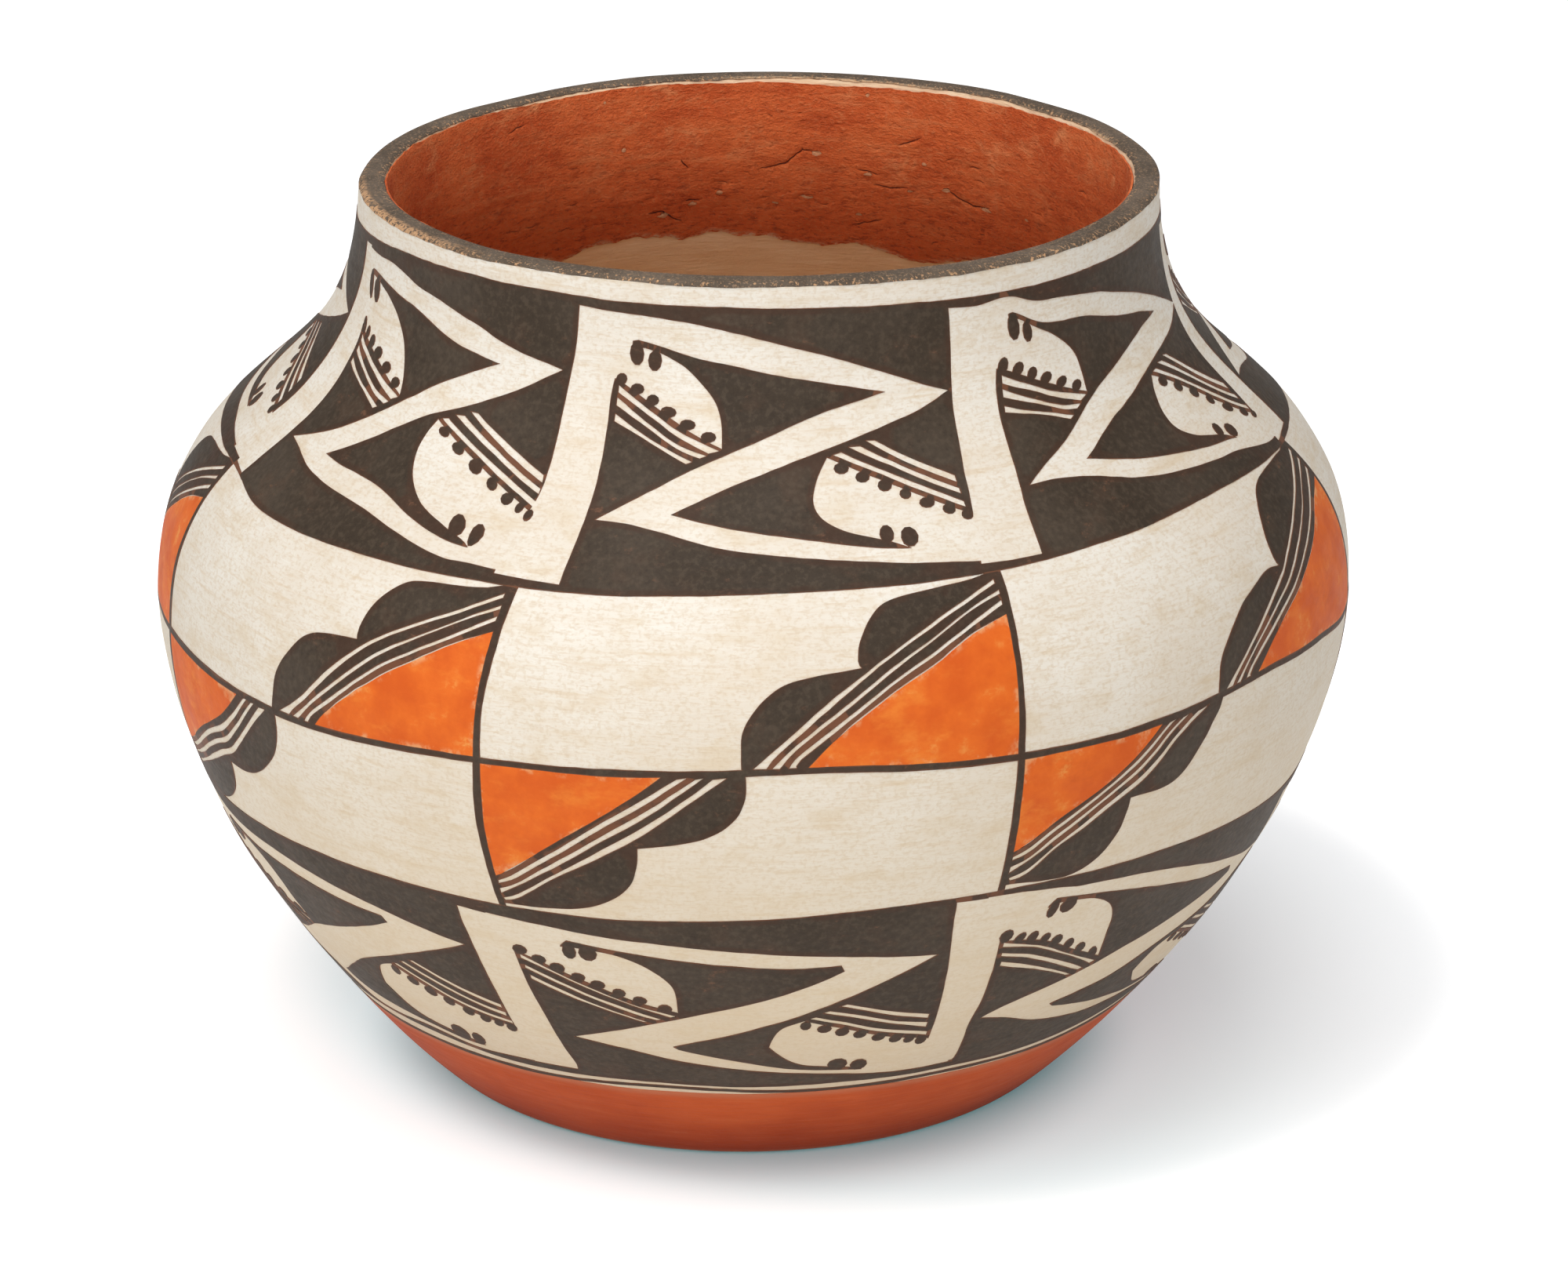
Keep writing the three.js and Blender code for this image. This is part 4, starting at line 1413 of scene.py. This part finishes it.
colour = mix(thin * 0.85, colour, clay_colour(mm))
relief = grit * (low * 0.8 + 0.4) + fine * 0.3 - flaked * 0.3
set_finish(inner_finish, colour, 0.7 + grit * 0.2, relief, 2.2)
inner_coat.data.materials.append(inner_finish)
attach(inner_coat, "root")

# The camera stands a little above the jar and in front of it, as for a catalogue picture, with a long lens.
# Its place is in metres, and it is turned first to its pitch and yaw and then by its small roll.
CAMERA_PLACE = (-0.002, -1.0964, 0.496)
PITCH, YAW, ROLL = (math.radians(degrees) for degrees in (20.243, 0.4535, -0.130))
camera = bpy.data.objects.new("camera", bpy.data.cameras.new("camera"))
bpy.context.scene.collection.objects.link(camera)
forward = Vector((math.sin(YAW) * math.cos(PITCH), math.cos(YAW) * math.cos(PITCH), -math.sin(PITCH)))
level_right = forward.cross(Vector((0, 0, 1))).normalized()
right = math.cos(ROLL) * level_right + math.sin(ROLL) * level_right.cross(forward)
turned = Matrix((right, right.cross(forward), -forward)).transposed()
camera.matrix_world = Matrix.Translation(CAMERA_PLACE) @ turned.to_4x4()
camera.data.lens = 121.56
camera.data.sensor_width = 36
bpy.context.scene.camera = camera

# The floor: a plain white sheet that takes the jar's soft shadow. Away from the jar its glow makes it white.
# Under the jar and in its shadow the glow is held back, its red most where the red foot warms the sheet.
FLOOR_SIZE = 12
GLOW_UNDER_JAR = (0, 0.112, 0.128, 1)
GLOW_NEAR_FOOT = (0.26, 0.475, 0.5, 1)
GLOW_IN_SHADOW = (0.28, 0.294, 0.31, 1)
GLOW_IN_LIGHT = (0.56, 0.56, 0.56, 1)
NO_GLOW = (0, 0, 0, 1)
floor_finish, mm = new_finish("floor")
rays = [mm.node("LightPath", output=f"Is {kind} Ray") for kind in ("Camera", "Glossy", "Transmission")]
seen = (rays[0] + rays[1] + rays[2]).clamped()
half_shade = mix(mm.away_from(-52, -66).between(0, 210), GLOW_NEAR_FOOT, GLOW_IN_SHADOW)
shade = mix(mm.away_from(-2, -7).between(65, 90), GLOW_UNDER_JAR, half_shade)
lit = mm.away_from(32, 36.5).between(121, 151)
glow = mix(seen, NO_GLOW, mix(lit, shade, GLOW_IN_LIGHT))
shader = floor_finish.node_tree.nodes["Principled BSDF"]
shader.inputs["Base Color"].default_value = (0.9, 0.9, 0.9, 1)
shader.inputs["Roughness"].default_value = 0.9
shader.inputs["Specular IOR Level"].default_value = 0.0
shader.inputs["Emission Strength"].default_value = 1.0
floor_finish.node_tree.links.new(glow.output, shader.inputs["Emission Color"])
bpy.ops.mesh.primitive_plane_add(size=FLOOR_SIZE, location=(0, 0, 0))
floor = bpy.context.object
floor.name = "floor"
floor.data.materials.append(floor_finish)
floor.select_set(False)

# The light: a pale room and three square lamps, one to the left, one in front and one overhead.
world = bpy.data.worlds.new("studio")
bpy.context.scene.world = world
world.use_nodes = True
backdrop = world.node_tree.nodes["Background"]
backdrop.inputs["Color"].default_value = (1, 1, 1, 1)
backdrop.inputs["Strength"].default_value = 0.34


def softbox(name, place, aim, size, power):
    """A square lamp aimed at a place on the jar."""
    lamp = bpy.data.objects.new(name, bpy.data.lights.new(name, "AREA"))
    bpy.context.scene.collection.objects.link(lamp)
    lamp.location = place
    lamp.rotation_euler = (Vector(aim) - Vector(place)).to_track_quat("-Z", "Y").to_euler()
    lamp.data.size = size
    lamp.data.energy = power


softbox("key", place=(-1.0, -0.95, 1.4), aim=(0, 0, 0.1), size=1.0, power=8.1)
softbox("front", place=(-0.15, -1.5, 0.85), aim=(0, 0, 0.12), size=0.8, power=7.6)
softbox("overhead", place=(0.05, -0.35, 1.85), aim=(0, 0, 0.1), size=1.0, power=13.6)

view = bpy.context.scene.view_settings
view.view_transform = "Standard"
